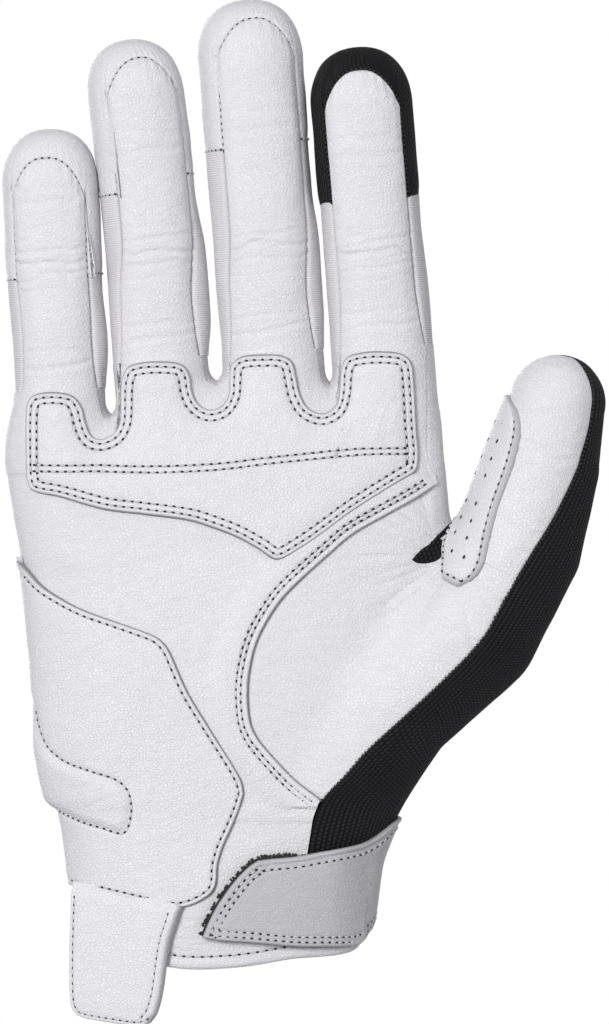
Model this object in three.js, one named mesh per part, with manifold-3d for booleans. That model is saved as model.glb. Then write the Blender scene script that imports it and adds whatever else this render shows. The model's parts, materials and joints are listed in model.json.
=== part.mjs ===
import * as THREE from "three";
import { mergeVertices } from "three/addons/utils/BufferGeometryUtils.js";
import Module from "manifold-3d";

// Right-hand motorcycle glove, filled as a hand fills it, in millimetres.
// The fingers point to +Z and the palm faces -Y. The origin is the middle of the wrist opening.
// The skin of the glove is one smooth field: an oval hand, four round-ended fingers and a thumb.
// Each panel is a shell between two offsets of that skin, over its own patch of it.

// Sizes of the hand
const palmSpan = 104;
const handLength = 149;
const palmDepth = 38;
const closingLength = 28;
const crotchFillet = 4.5;
const thumbFillet = 6;

// Thicknesses and clearances
const gap = 0.4;
const weldDistance = 0.001;
const flexGap = 0.6;
const leatherThickness = 1.3;
const knitThickness = 1.3;
const overlayThickness = 1.2;
const liningThickness = 0.8;
const padThickness = 1.4;
const guardThickness = 1.6;
const guardBulge = 2.6;
const hookThickness = 0.8;
const strapThickness = 1.5;
const tabThickness = 1.8;

// Lengths of the fingers, from the crease at the base of each to its tip
const pinkyLength = 65;
const ringLength = 80.2;
const middleLength = 88;
const indexLength = 75.5;

// Each finger: its base and widths across as shares of palmSpan, the height of its base as a share
// of handLength, its depth as a share of palmDepth, and the rest as shares of its own length
const fingerShares = [
  {
    name: "pinky", length: pinkyLength, baseX: -0.4135, baseZ: 0.94, baseWidth: 0.2154, width: 0.2269,
    depth: 0.579, drift: -0.0462, bow: 0, knuckleAt: 0.492, bandAt: 0.508, archBelow: 0.108,
  },
  {
    name: "ring", length: ringLength, baseX: -0.173, baseZ: 0.99, baseWidth: 0.2288, width: 0.2269,
    depth: 0.616, drift: -0.0973, bow: 0.0112, knuckleAt: 0.343, bandAt: 0.536, archBelow: 0.056,
  },
  {
    name: "middle", length: middleLength, baseX: 0.0971, baseZ: 1.0034, baseWidth: 0.2442, width: 0.2462,
    depth: 0.6316, drift: -0.075, bow: 0, knuckleAt: 0.307, bandAt: 0.568, archBelow: 0.051,
  },
  {
    name: "index", length: indexLength, baseX: 0.3606, baseZ: 1.008, baseWidth: 0.2462, width: 0.2385,
    depth: 0.621, drift: -0.0848, bow: 0, knuckleAt: 0.3245, bandAt: 0.477, archBelow: 0.073,
  },
];
const fingerRoot = 30;
const tipClosing = 15;
const fingerPower = 2.3;
const archDrop = 10;
const capBack = 16;

// Thumb: radius at its middle, reach from its crease to the middle of its tip, and where it bends
const thumbRadius = 14.2;
const thumbReach = 44.7;
const thumbKnuckleShare = 0.716;
const thumbHoleRadius = 12.6;
const thumbArchBelow = 3.5;

// Balls that the skin of the mound and the thumb wraps. Centres of the mound's balls are shares of
// palmSpan, palmDepth and handLength, those of the thumb's shares of its reach from the crease.
// Radii are shares of thumbRadius.
const thumbCreaseShares = { x: 0.654, y: -0.145, z: 0.633 };
const moundBallShares = [
  { x: 0.2356, y: -0.026, z: 0.2517, radius: 1.056 },
  { x: 0.3923, y: -0.132, z: 0.4107, radius: 1.099 },
  { x: 0.577, y: -0.158, z: 0.537, radius: 1.169 },
  { x: 0.6885, y: -0.132, z: 0.6745, radius: 1.099 },
];
const thumbBallShares = [
  { x: 0.2148, y: 0.0336, z: 0.5861, radius: 1 },
  { x: 0.302, y: 0.056, z: 0.951, radius: 0.838 },
];
const thumbLeanShares = [0.46, 0, 0.89];

// Angles round the thumb, from the middle of its palm side, as [share of its reach, angle]
const thumbInnerAngle = -100;
const thumbArchMiddle = -26;
const thumbArchAngle = 66;
const thumbEdgeShares = [[0, 12], [0.31, 24], [0.72, 36], [1, 47]];
const thumbPatchInnerShares = [[0, -62], [0.11, -82], [0.27, -108], [0.74, -112], [0.94, -104]];
const thumbPatchOuterShares = [[0, -34], [0.31, -40], [0.74, -42], [0.94, -78]];
const thumbPatchEndShare = 0.94;

// Gusset between the thumb and the hand: its path, as [across, up], and its depths
const gussetShares = [[0.5125, 0.735], [0.51, 0.722], [0.508, 0.7115], [0.508, 0.702]];
const gussetFront = 6.6;
const gussetBack = 6.4;
const gussetTopShare = 0.7;

// Wrist strap and pull tab
const anchorAngle = 150;
const anchorTopShare = 0.2;
const strapStandOff = 2;
const hookEndShare = 0.25;
const tabDrop = 3;
const tabTurn = 18;
const tabPlaceShares = { x: -0.26, y: -0.405, z: 0.095 };
const tabWidth = 26.4;
const tabLength = 29;
const tabCorner = 3.4;
const tabTaper = 4;

// Outlines, as shares of palmSpan across and of handLength up
const leftShares = [
  [0.008, -0.375], [0.114, -0.392], [0.23, -0.418], [0.26, -0.444], [0.36, -0.471],
  [0.51, -0.486], [0.66, -0.507], [0.77, -0.534], [0.91, -0.546], [1.02, -0.519],
];
const rightShares = [
  [0.008, 0.318], [0.08, 0.332], [0.19, 0.362], [0.25, 0.39], [0.3, 0.416], [0.42, 0.447],
  [0.55, 0.486], [0.69, 0.519], [0.79, 0.514], [0.95, 0.488], [1.02, 0.478],
];
const frontShares = [[0, 0.42], [0.2, 0.45], [0.45, 0.49], [0.7, 0.45], [0.88, 0.36], [1, 0.32]];
const backShares = [[0, 0.42], [0.2, 0.45], [0.45, 0.5], [0.7, 0.5], [0.88, 0.44], [1, 0.35]];
const roundnessShares = [[0, 2.3], [0.3, 2.4], [0.7, 2.8], [1, 3.4]];
const crotchShares = [
  [-0.5, 0.98], [-0.4, 0.94], [-0.305, 0.9], [-0.053, 0.95], [0.214, 0.95], [0.36, 0.96], [0.5, 0.99],
];

// Seam between palm and thumb mound, from the wrist up, as [up, across]
const seamShares = [
  [0.076, 0.171], [0.168, 0.18], [0.225, 0.197], [0.252, 0.2], [0.29, 0.148], [0.338, 0.079],
  [0.388, 0.048], [0.438, 0.038], [0.487, 0.048], [0.549, 0.082], [0.606, 0.139], [0.646, 0.212],
  [0.688, 0.284], [0.725, 0.362], [0.757, 0.438], [0.778, 0.484], [0.84, 0.49], [0.889, 0.487],
  [0.945, 0.477], [0.996, 0.466],
];
const palmHeelShare = 0.03;
const gripLowShare = 0.775;
const gripHighShare = 0.84;
const turnShare = 0.778;
const gripGap = 1.1;
const turnLowShare = 0.82;
const liningTopShare = 0.655;
const liningLow = 14;
const webFront = 6.6;
const webBack = 4.4;
const webMargin = 1.4;
const webReach = 4;
const moundRow = 3;
const moundRows = 12;

// Edge between white leather and black knit on the thumb side, as [up, across]
const knitEdgeShares = [
  [0.076, 0.171], [0.171, 0.18], [0.223, 0.197], [0.258, 0.222], [0.294, 0.272], [0.337, 0.327],
  [0.401, 0.428], [0.468, 0.529], [0.523, 0.601], [0.584, 0.651], [0.622, 0.681],
];
const moundLowShare = 0.254;
const moundTopShares = [
  [0.452, 0.756], [0.499, 0.72], [0.528, 0.674], [0.567, 0.664], [0.605, 0.65], [0.642, 0.636],
  [0.677, 0.622],
];

// Black knit side of the thumb mound: its outline and the heights where its back edge lies
const sideOutlineShares = [
  [0.365, 0.076], [0.389, 0.168], [0.394, 0.21], [0.389, 0.252], [0.433, 0.289], [0.481, 0.324],
  [0.536, 0.361], [0.644, 0.433], [0.728, 0.495], [0.772, 0.559], [0.79, 0.578],
];
const sideBackShares = [0.06, 0.13, 0.18, 0.22, 0.26, 0.3, 0.36, 0.44, 0.53, 0.61, 0.665];

// Right edge of the back panel, as [height share, angle round the hand from the middle of the palm]
const backEdgeShares = [
  [0.05, 140], [0.215, 142], [0.345, 138], [0.5, 131], [0.62, 123], [0.68, 112], [0.74, 78], [1.02, 74],
];
const backEdgeLeft = 261;
const palmWrapAngles = [268, 277, 288, 300];
const palmWrapShare = 0.012;
const backColumnShares = [-0.43, -0.22, 0, 0.22, 0.43];
const backTurnShare = 8 / 11;
const backWrapAngles = [85, 97];
const besideCosine = -0.3;

// Grip patch: its castle edge and its lower edge, as [across, up]
const gripTopShares = [
  [-0.48, 0.925], [-0.433, 0.934], [-0.387, 0.933], [-0.363, 0.918], [-0.353, 0.881],
  [-0.315, 0.856], [-0.284, 0.859], [-0.257, 0.881], [-0.25, 0.95], [-0.232, 0.98],
  [-0.197, 0.985], [-0.144, 0.984], [-0.118, 0.968], [-0.108, 0.931], [-0.087, 0.905],
  [-0.05, 0.9], [-0.019, 0.911], [-0.002, 0.94], [0.004, 0.975], [0.022, 0.992],
  [0.075, 0.995], [0.125, 0.994], [0.149, 0.98], [0.159, 0.94], [0.173, 0.908],
  [0.207, 0.896], [0.243, 0.904], [0.262, 0.923], [0.268, 0.975], [0.288, 0.995],
  [0.341, 0.998], [0.398, 0.996], [0.428, 0.975],
];
const gripBottomShares = [
  [-0.48, 0.767], [-0.356, 0.748], [-0.255, 0.734], [-0.102, 0.72], [0, 0.702], [0.072, 0.668],
  [0.111, 0.656], [0.166, 0.68], [0.317, 0.753], [0.433, 0.805],
];

// Heel panel: its lower and upper edges, as [share of its width, up]
const heelLowShares = [
  [0, 0.115], [0.15, 0.103], [0.35, 0.09], [0.55, 0.079], [0.68, 0.076], [0.78, 0.085],
  [0.86, 0.11], [0.93, 0.18], [1, 0.262],
];
const heelHighShares = [
  [0, 0.63], [0.14, 0.59], [0.43, 0.545], [0.58, 0.523], [0.64, 0.5], [0.74, 0.43], [0.85, 0.362],
  [0.94, 0.31], [1, 0.27],
];
const heelRightShare = 0.03;
const edgeShare = 0.955;

// Foam pad under the heel panel: its sides, and its lower and upper edge at each side
const padSideShares = [-0.36, -0.25];
const padLowShares = [0.225, 0.2];
const padHighShares = [0.33, 0.28];
const padFade = 9;

// Strap, hem and back edge at the wrist, as [across, up]
const strapTopShares = [
  [-0.055, 0.035], [-0.024, 0.084], [0.02, 0.135], [0.06, 0.153], [0.178, 0.163], [0.285, 0.176],
];
const strapBottomShares = [[-0.055, 0.02], [0.06, 0.015], [0.178, 0.012], [0.285, 0.014]];
const loopSideShares = [-0.02, 0.24];
const loopHeightShares = [0.035, 0.125];
const hemSideShares = [-0.15, 0.28];
const hemTopShare = 0.07;
const hemBottomShares = [[-0.15, -0.022], [-0.03, -0.026], [0.12, -0.015], [0.3, 0.002], [0.345, 0.012]];
const backHemShares = [[-0.4, 0.105], [-0.15, 0.06], [0.1, 0.03], [0.36, 0.02]];

// Knuckle guard on the back
const guardSideShares = [-0.45, 0.43];
const guardMiddleShares = [[-0.45, 0.765], [-0.2, 0.815], [0.1, 0.835], [0.43, 0.815]];
const guardHeight = 16;
const guardEndShare = 0.35;

// Angles round a finger, from the middle of its palm side
const frontHalfAngle = 48;
const backHalfAngle = 66;
const seamAngle = 1.6;

const look = (colour, roughness, metalness) =>
  new THREE.MeshStandardMaterial({ color: colour, roughness, metalness });
const whiteLeather = look(0xd6d4da, 0.62, 0);
const ribTextile = look(0xcfcdc9, 0.85, 0);
const blackKnit = look(0x17171a, 0.9, 0);
const strapWeb = look(0xa9a9b0, 0.7, 0);
const hookTape = look(0x111113, 0.95, 0);
const liningCloth = look(0x3a3a3e, 0.95, 0);
const foam = look(0x2a2a2d, 0.9, 0);
const guardRubber = look(0x202023, 0.55, 0);

const toRadians = THREE.MathUtils.degToRad;
const mix = THREE.MathUtils.lerp;
const clamp = THREE.MathUtils.clamp;
const upwards = new THREE.Vector3(0, 0, 1);
const forwards = new THREE.Vector3(0, 1, 0);

// Value of a table of [key, value] rows at a key, on a smooth curve through the rows.
function tableAt(table, key) {
  const last = table.length - 1;
  if (key <= table[0][0]) return table[0][1];
  if (key >= table[last][0]) return table[last][1];
  let i = 0;
  while (table[i + 1][0] < key) i += 1;
  const slopeAt = (k) => {
    const before = table[Math.max(k - 1, 0)];
    const after = table[Math.min(k + 1, last)];
    return (after[1] - before[1]) / (after[0] - before[0]);
  };
  const span = table[i + 1][0] - table[i][0];
  const t = (key - table[i][0]) / span;
  const rise = t * t * (3 - 2 * t);
  const leave = t * (1 - t) * (1 - t) * span;
  const arrive = t * t * (t - 1) * span;
  return mix(table[i][1], table[i + 1][1], rise) + slopeAt(i) * leave + slopeAt(i + 1) * arrive;
}

// Value of a table at a key, on straight lines between its rows.
function lineAt(table, key) {
  const last = table.length - 1;
  if (key <= table[0][0]) return table[0][1];
  if (key >= table[last][0]) return table[last][1];
  let i = 0;
  while (table[i + 1][0] < key) i += 1;
  return mix(table[i][1], table[i + 1][1], (key - table[i][0]) / (table[i + 1][0] - table[i][0]));
}

// Smooth join of two distances, with a fillet of about a given size.
function smoothMin(a, b, fillet) {
  const h = clamp(0.5 + (b - a) / (2 * fillet), 0, 1);
  return mix(b, a, h) - fillet * h * (1 - h);
}

// Distance to a rounded box-like oval: the root of the summed powers, divided by its slope.
function ovalDistance(offsets, halves, power) {
  const parts = offsets.map((offset, i) => Math.abs(offset) / halves[i]);
  const size = Math.max(parts.reduce((sum, part) => sum + part ** power, 0) ** (1 / power), 1e-6);
  const slopes = parts.map((part, i) => (part / size) ** (power - 1) / halves[i]);
  const least = 1 / (2 * Math.max(...halves));
  return (size - 1) / Math.max(Math.hypot(...slopes), least);
}

// Middle, half width, front and back depth, and squareness of the hand's section at a height.
function handSection(z) {
  const up = z / handLength;
  const left = palmSpan * tableAt(leftShares, up);
  const right = palmSpan * tableAt(rightShares, up);
  return {
    middle: (left + right) / 2,
    half: (right - left) / 2,
    front: palmDepth * tableAt(frontShares, up),
    back: palmDepth * tableAt(backShares, up),
    power: tableAt(roundnessShares, up),
  };
}

function handField(p) {
  const s = handSection(p.z);
  const top = handLength * tableAt(crotchShares, p.x / palmSpan);
  const closing = Math.max(p.z - top + closingLength, 0);
  const depth = p.y < 0 ? s.front : s.back;
  return ovalDistance([p.x - s.middle, p.y, closing], [s.half, depth, closingLength], s.power);
}

const fingers = fingerShares.map((own) => ({
  name: own.name,
  length: own.length,
  baseX: palmSpan * own.baseX,
  baseZ: handLength * own.baseZ,
  baseWidth: palmSpan * own.baseWidth,
  width: palmSpan * own.width,
  depth: palmDepth * own.depth,
  drift: own.length * own.drift,
  bow: own.length * own.bow,
  knuckleAt: own.length * own.knuckleAt,
  bandAt: own.length * own.bandAt,
  archBelow: own.length * own.archBelow,
}));

// A finger's own frame: its base, its direction and the direction across it.
for (const finger of fingers) {
  finger.base = new THREE.Vector3(finger.baseX, 0, finger.baseZ);
  const rise = Math.sqrt(finger.length ** 2 - finger.drift ** 2);
  finger.along = new THREE.Vector3(finger.drift, 0, rise).normalize();
  finger.across = new THREE.Vector3(finger.along.z, 0, -finger.along.x);
}

const bowAt = (finger, t) => finger.bow * Math.sin(Math.PI * clamp(t / finger.length, 0, 1));

function halfWidthAt(finger, t) {
  const fill = THREE.MathUtils.smoothstep(t, 0, finger.knuckleAt);
  return mix(finger.baseWidth, finger.width, fill) / 2;
}

function fingerField(finger, p) {
  const from = p.clone().sub(finger.base);
  const t = from.dot(finger.along);
  const side = from.dot(finger.across) - bowAt(finger, t);
  const beyond = Math.max(t - finger.length + tipClosing, 0) / tipClosing;
  const below = Math.max(-t - fingerRoot + tipClosing, 0) / tipClosing;
  const closing = Math.max(beyond, below) * tipClosing;
  const halves = [halfWidthAt(finger, t), finger.depth / 2, tipClosing];
  return ovalDistance([side, from.y, closing], halves, fingerPower);
}

// Place from shares of the palm's span, its depth and the hand's length.
const placeOf = (own) => new THREE.Vector3(palmSpan * own.x, palmDepth * own.y, handLength * own.z);
const thumbCrease = placeOf(thumbCreaseShares);
const fromCrease = (own) => {
  const reach = new THREE.Vector3(own.x, own.y, own.z).multiplyScalar(thumbReach);
  return reach.add(thumbCrease);
};
const ballPlaces = [...moundBallShares.map(placeOf), ...thumbBallShares.map(fromCrease)];
const ballRadii = [...moundBallShares, ...thumbBallShares].map((own) => thumbRadius * own.radius);
const tipRadius = ballRadii[ballRadii.length - 1];
const thumbKnuckleAt = thumbReach * thumbKnuckleShare;

function thumbField(p) {
  let nearest = Infinity;
  for (let i = 0; i + 1 < ballPlaces.length; i += 1) {
    const run = ballPlaces[i + 1].clone().sub(ballPlaces[i]);
    const share = clamp(p.clone().sub(ballPlaces[i]).dot(run) / run.lengthSq(), 0, 1);
    const centre = ballPlaces[i].clone().addScaledVector(run, share);
    const radius = mix(ballRadii[i], ballRadii[i + 1], share);
    nearest = Math.min(nearest, p.distanceTo(centre) - radius);
  }
  return nearest;
}

function gloveField(p) {
  const digits = Math.min(...fingers.map((finger) => fingerField(finger, p)));
  const hand = smoothMin(handField(p), thumbField(p), thumbFillet);
  return smoothMin(hand, digits, crotchFillet);
}

// Outward direction of a field at a point, with the part along one direction taken out if one is given.
const probe = palmSpan / 2000;
function outward(field, p, along) {
  const slope = (x, y, z) => {
    const step = new THREE.Vector3(x, y, z).multiplyScalar(probe);
    return field(p.clone().add(step)) - field(p.clone().sub(step));
  };
  const normal = new THREE.Vector3(slope(1, 0, 0), slope(0, 1, 0), slope(0, 0, 1));
  if (along) normal.addScaledVector(along, -normal.dot(along));
  return normal.normalize();
}

// Moves a point onto the skin along its outward direction.
function settle(field, p, along) {
  const point = p.clone();
  for (let step = 0; step < 6; step += 1) {
    const normal = outward(field, point, along);
    const away = field(point);
    const ahead = field(point.clone().addScaledVector(normal, probe));
    const slope = Math.max((ahead - away) / probe, 0.3);
    point.addScaledVector(normal, -away / slope);
  }
  return point;
}

// The point of the skin seen from the palm side, or from the back, at a place across and up.
const farAway = palmSpan;
function seen(facing, x, z) {
  const point = new THREE.Vector3(x, -facing * farAway, z);
  for (let step = 0; step < 60 && point.y * facing < 0; step += 1) {
    point.y += facing * gloveField(point) * 0.9;
  }
  return point;
}
const fromPalm = (x, z) => seen(1, x, z);
const fromBack = (x, z) => seen(-1, x, z);

const manifold = await Module();
manifold.setup();

// A mesh from triangles given as points, with doubled points merged and flat triangles dropped.
function meshOf(name, material, triangles) {
  const loose = new THREE.BufferGeometry().setFromPoints(triangles.flat());
  const merged = mergeVertices(loose, weldDistance);
  const kept = [];
  const index = merged.index.array;
  for (let i = 0; i < index.length; i += 3) {
    const [a, b, c] = index.slice(i, i + 3);
    if (a !== b && b !== c && c !== a) kept.push(a, b, c);
  }
  merged.setIndex(kept);
  if (signedVolume(merged) < 0) {
    for (let i = 0; i < kept.length; i += 3) [kept[i], kept[i + 1]] = [kept[i + 1], kept[i]];
    merged.setIndex(kept);
  }
  const mesh = new THREE.Mesh(merged, material);
  mesh.name = name;
  return mesh;
}

function signedVolume(geometry) {
  const at = geometry.attributes.position;
  const corner = (i) => new THREE.Vector3().fromBufferAttribute(at, geometry.index.getX(i));
  let sum = 0;
  for (let i = 0; i < geometry.index.count; i += 3) {
    sum += corner(i).dot(corner(i + 1).cross(corner(i + 2)));
  }
  return sum / 6;
}

const evenly = (count) => Array.from({ length: count + 1 }, (_, i) => i / count);

// A closed shell over a grid of places. place(u, v) gives a point on the skin, and low and high are
// how far its two faces lie outside the skin there, as numbers or as functions of u and v.
function shell(name, material, options) {
  const { us, vs, place, low, high, field = gloveField, along, ring = false } = options;
  const amount = (value, u, v) => (typeof value === "function" ? value(u, v) : value);
  const grid = vs.map((v) =>
    us.map((u) => {
      const base = place(u, v);
      const normal = outward(field, base, along);
      return {
        inner: base.clone().addScaledVector(normal, amount(low, u, v)),
        outer: base.clone().addScaledVector(normal, amount(high, u, v)),
      };
    }),
  );
  const triangles = [];
  const quad = (a, b, c, d) => triangles.push([a, b, c], [a, c, d]);
  const wide = ring ? us.length : us.length - 1;
  const cell = (i, j) => grid[j][i % us.length];
  for (let j = 0; j + 1 < vs.length; j += 1) {
    for (let i = 0; i < wide; i += 1) {
      const corners = [cell(i, j), cell(i + 1, j), cell(i + 1, j + 1), cell(i, j + 1)];
      quad(...corners.map((corner) => corner.outer));
      quad(...corners.map((corner) => corner.inner).reverse());
    }
  }
  const wall = (a, b) => quad(b.outer, a.outer, a.inner, b.inner);
  for (let i = 0; i < wide; i += 1) {
    wall(cell(i, 0), cell(i + 1, 0));
    wall(cell(i + 1, vs.length - 1), cell(i, vs.length - 1));
  }
  for (let j = 0; j + 1 < vs.length && !ring; j += 1) {
    wall(cell(us.length - 1, j), cell(us.length - 1, j + 1));
    wall(cell(0, j + 1), cell(0, j));
  }
  return meshOf(name, material, triangles);
}

function solidOf(mesh) {
  const geometry = mesh.geometry;
  const data = { numProp: 3, vertProperties: geometry.attributes.position.array };
  data.triVerts = new Uint32Array(geometry.index.array);
  return new manifold.Manifold(new manifold.Mesh(data));
}

// A mesh with another solid cut out of it.
function cutFrom(mesh, cutter) {
  const cut = solidOf(mesh).subtract(solidOf(cutter)).getMesh();
  const geometry = new THREE.BufferGeometry();
  geometry.setAttribute("position", new THREE.BufferAttribute(cut.vertProperties, 3));
  geometry.setIndex(new THREE.BufferAttribute(cut.triVerts, 1));
  const result = new THREE.Mesh(geometry, mesh.material);
  result.name = mesh.name;
  return result;
}

const glove = new THREE.Group();
const add = (...meshes) => glove.add(...meshes);
const spanned = (low, high, count) => evenly(count).map((share) => mix(low, high, share));

// Point of the hand's own oval at an angle from the middle of the palm side, and at a height.
function handPlace(degrees, z) {
  const s = handSection(z);
  const angle = toRadians(degrees);
  const squared = (value) => Math.sign(value) * Math.abs(value) ** (2 / s.power);
  const depth = Math.cos(angle) > 0 ? s.front : s.back;
  const across = s.half * squared(Math.sin(angle));
  return new THREE.Vector3(s.middle + across, -depth * squared(Math.cos(angle)), z);
}

// Height of the lowest crease plane among the fingers that a place across the hand lies below.
function creaseAt(x) {
  const beside = fingers.filter((finger) => Math.abs(x - finger.baseX) < finger.baseWidth / 2 + webReach);
  const heights = beside.map(
    (finger) => finger.baseZ - ((x - finger.baseX) * finger.along.x) / finger.along.z,
  );
  return Math.min(...heights) - flexGap / 2;
}

// Height where the skin turns in between two fingers to a given depth, or the crease plane.
function turnAt(look, x, depth) {
  let low = handLength * turnLowShare;
  let high = creaseAt(x);
  if (Math.abs(look(x, high).y) > depth) return high;
  for (let step = 0; step < 10; step += 1) {
    const middle = (low + high) / 2;
    if (Math.abs(look(x, middle).y) > depth) low = middle;
    else high = middle;
  }
  return low;
}

const edgeOf = (z, side) => handSection(z).middle + side * edgeShare * handSection(z).half;
const seamAt = (z) => palmSpan * lineAt(seamShares, z / handLength);
const knitEdgeAt = (z) => palmSpan * lineAt(knitEdgeShares, z / handLength);

// The palm: from the wrist to the finger creases, and across to the seam of the thumb mound.
function makePalm() {
  const last = seamShares.length - 1;
  const low = handLength * seamShares[0][0];
  const high = handLength * seamShares[last][0];
  const rows = seamShares.map((row) => (handLength * row[0] - low) / (high - low));
  const left = edgeOf(high, -1);
  const across = (x) => (x - left) / (seamAt(high) - left);
  const columns = gripTopShares.map((row) => across(palmSpan * row[0]));
  const wraps = palmWrapAngles.map((_, i) => (i + 1) * palmWrapShare);
  const us = [0, ...wraps, ...columns.filter((u) => u > 0.055 && u < 0.94), 0.965, 1];
  const topAt = (u) => turnAt(fromPalm, mix(left, seamAt(high), u), webFront + webMargin);
  const tops = new Map(us.map((u) => [u, topAt(u)]));
  const turnFrom = handLength * turnShare;
  const place = (u, v) => {
    const level = mix(low, high, v);
    const rise = palmHeelShare * handLength * (1 - u) ** 2;
    const raised = level + rise * (1 - THREE.MathUtils.smoothstep(level, low, handLength / 4));
    const turned = clamp((level - turnFrom) / (high - turnFrom), 0, 1);
    const z = u < 1 && turned > 0 ? mix(turnFrom, tops.get(u), turned) : raised;
    const around = (degrees) => settle(gloveField, handPlace(degrees, z), upwards);
    if (u === 0) return around(backEdgeLeft + 2 * seamAngle);
    const wrap = wraps.indexOf(u);
    const edge = around(palmWrapAngles[Math.max(wrap, 0)]);
    if (wrap >= 0) return edge;
    const upright = THREE.MathUtils.smoothstep(z, handLength * gripLowShare, handLength * gripHighShare);
    const x = mix(mix(edge.x, seamAt(z), u), mix(left, seamAt(high), u), u < 1 ? upright : 0);
    return fromPalm(x, z);
  };
  return shell("palm_panel", whiteLeather, { us, vs: rows, place, low: -leatherThickness, high: 0 });
}

// White leather over the thumb mound, between the seam and the black knit.
function makeMound() {
  const seam = seamShares.slice(moundRow, moundRow + moundRows);
  const count = moundRows - 1;
  const lastUp = knitEdgeShares[knitEdgeShares.length - 1][0];
  const place = (u, v) => {
    const row = Math.round(v * count);
    if (row === count) {
      const [x, up] = moundTopShares[Math.round(u * (moundTopShares.length - 1))];
      return fromPalm(palmSpan * x, handLength * up - flexGap);
    }
    const seamX = palmSpan * seam[row][1] + flexGap;
    const seamZ = handLength * seam[row][0] - (row > count / 2 ? flexGap : 0);
    const edgeZ = handLength * mix(moundLowShare, lastUp, v);
    return fromPalm(mix(seamX, knitEdgeAt(edgeZ) - gap, u), mix(seamZ, edgeZ, u));
  };
  return shell("thenar_panel", whiteLeather, {
    us: evenly(moundTopShares.length - 1), vs: evenly(count), place, low: -leatherThickness, high: 0,
  });
}

// Black knit round the thumb side of the hand, from the white leather in front to the back panel.
function makeSide() {
  const count = knitEdgeShares.length - 1;
  const reach = ballRadii[0];
  const arcs = knitEdgeShares.map(([up, across], row) => {
    const front = fromPalm(palmSpan * across + gap, handLength * up - (row === count ? flexGap : 0));
    const [outX, outUp] = sideOutlineShares[row];
    const out = new THREE.Vector3(palmSpan * outX, front.y / 4, handLength * outUp);
    const outwards = out.clone().sub(front).setY(0).normalize();
    const backZ = handLength * sideBackShares[row];
    const back = handPlace(tableAt(backEdgeShares, backZ / handLength) - 2 * seamAngle, backZ);
    const end = settle(gloveField, back, upwards);
    return new THREE.QuadraticBezierCurve3(front, out.addScaledVector(outwards, reach), end);
  });
  const place = (u, v) => {
    const point = arcs[Math.round(v * count)].getPoint(u);
    return u === 0 || u === 1 ? point : settle(gloveField, point);
  };
  return shell("thumb_side_panel", blackKnit, {
    us: evenly(8), vs: evenly(count), place, low: -knitThickness, high: 0,
  });
}

// Columns of the back at the creases: the sides and middle of each finger and the dips between.
function backColumns(from, to) {
  const s = handSection(handLength);
  const angleOf = (x) => {
    const share = (x - s.middle) / s.half;
    return 180 - THREE.MathUtils.radToDeg(Math.asin(Math.sign(share) * Math.abs(share) ** (s.power / 2)));
  };
  const places = fingers.flatMap((finger, i) => {
    const own = backColumnShares.map((share) => finger.baseX + share * finger.baseWidth);
    const next = fingers[i + 1];
    return next ? [...own, (finger.baseX + next.baseX) / 2] : own;
  });
  const angles = [...places.map(angleOf), ...backWrapAngles];
  const shares = angles.map((angle) => (angle - from) / (to - from)).sort((a, b) => a - b);
  return [0, ...shares.filter((share) => share > 0.02 && share < 0.98), 1];
}

// Black knit over the back, wrapped round both edges of the hand to meet the palm.
function makeBack() {
  const topEdge = backEdgeShares[backEdgeShares.length - 1][1];
  const turnFrom = handLength * turnShare;
  const us = backColumns(topEdge, backEdgeLeft);
  const tops = new Map(us.map((u) => {
    const angle = mix(topEdge, backEdgeLeft, u);
    const x = handPlace(angle, handLength).x;
    const beside = Math.cos(toRadians(angle)) > besideCosine;
    return [u, beside ? creaseAt(x) : turnAt(fromBack, x, webBack + webMargin)];
  }));
  const place = (u, v) => {
    const topX = handPlace(mix(topEdge, backEdgeLeft, u), handLength).x;
    const lowest = handLength * tableAt(backHemShares, topX / palmSpan);
    const turned = (v - backTurnShare) / (1 - backTurnShare);
    const z = turned > 0 ? mix(turnFrom, tops.get(u), turned) : mix(lowest, turnFrom, v / backTurnShare);
    const angle = mix(tableAt(backEdgeShares, z / handLength), backEdgeLeft, u);
    return settle(gloveField, handPlace(angle, z), upwards);
  };
  return shell("back_panel", blackKnit, {
    us, vs: evenly(11), place, low: -knitThickness, high: 0, along: upwards,
  });
}

// Strip of ribbed textile that lines the dip between two neighbours.
function makeWeb(name, material, path, depths) {
  const places = path.map(([x, z]) => new THREE.Vector3(x, 0, z));
  const place = (u, v) => {
    const point = places[Math.round(u * (path.length - 1))].clone();
    point.y = mix(...depths(u), v);
    return settle(gloveField, point, forwards);
  };
  return shell(name, material, {
    us: evenly(path.length - 1), vs: evenly(3), place, low: -leatherThickness, high: 0, along: forwards,
  });
}

function webPath(left, right) {
  const leftX = left.baseX + left.baseWidth / 2;
  const rightX = right.baseX - right.baseWidth / 2;
  const middle = (leftX + rightX) / 2;
  const dip = handLength * tableAt(crotchShares, middle / palmSpan);
  const inside = leatherThickness / 2;
  const leftTop = creaseAt(leftX - inside) - flexGap;
  const rightTop = creaseAt(rightX + inside) - flexGap;
  return [
    [leftX - inside, leftTop], [leftX - inside, (leftTop + dip) / 2], [middle - inside, dip - inside],
    [middle, dip - 2 * inside], [middle + inside, dip - inside],
    [rightX + inside, (rightTop + dip) / 2], [rightX + inside, rightTop],
  ];
}

// An overlay between a lower and an upper edge, each a table of [across, up] shares.
function overlay(name, material, us, vs, options) {
  const { sides, lower, upper, low, high } = options;
  const place = (u, v) => {
    const x = palmSpan * mix(...sides, u);
    const z = handLength * mix(lower(x / palmSpan), upper(x / palmSpan), v);
    return fromPalm(x, z);
  };
  return shell(name, material, { us, vs, place, low, high });
}

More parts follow.
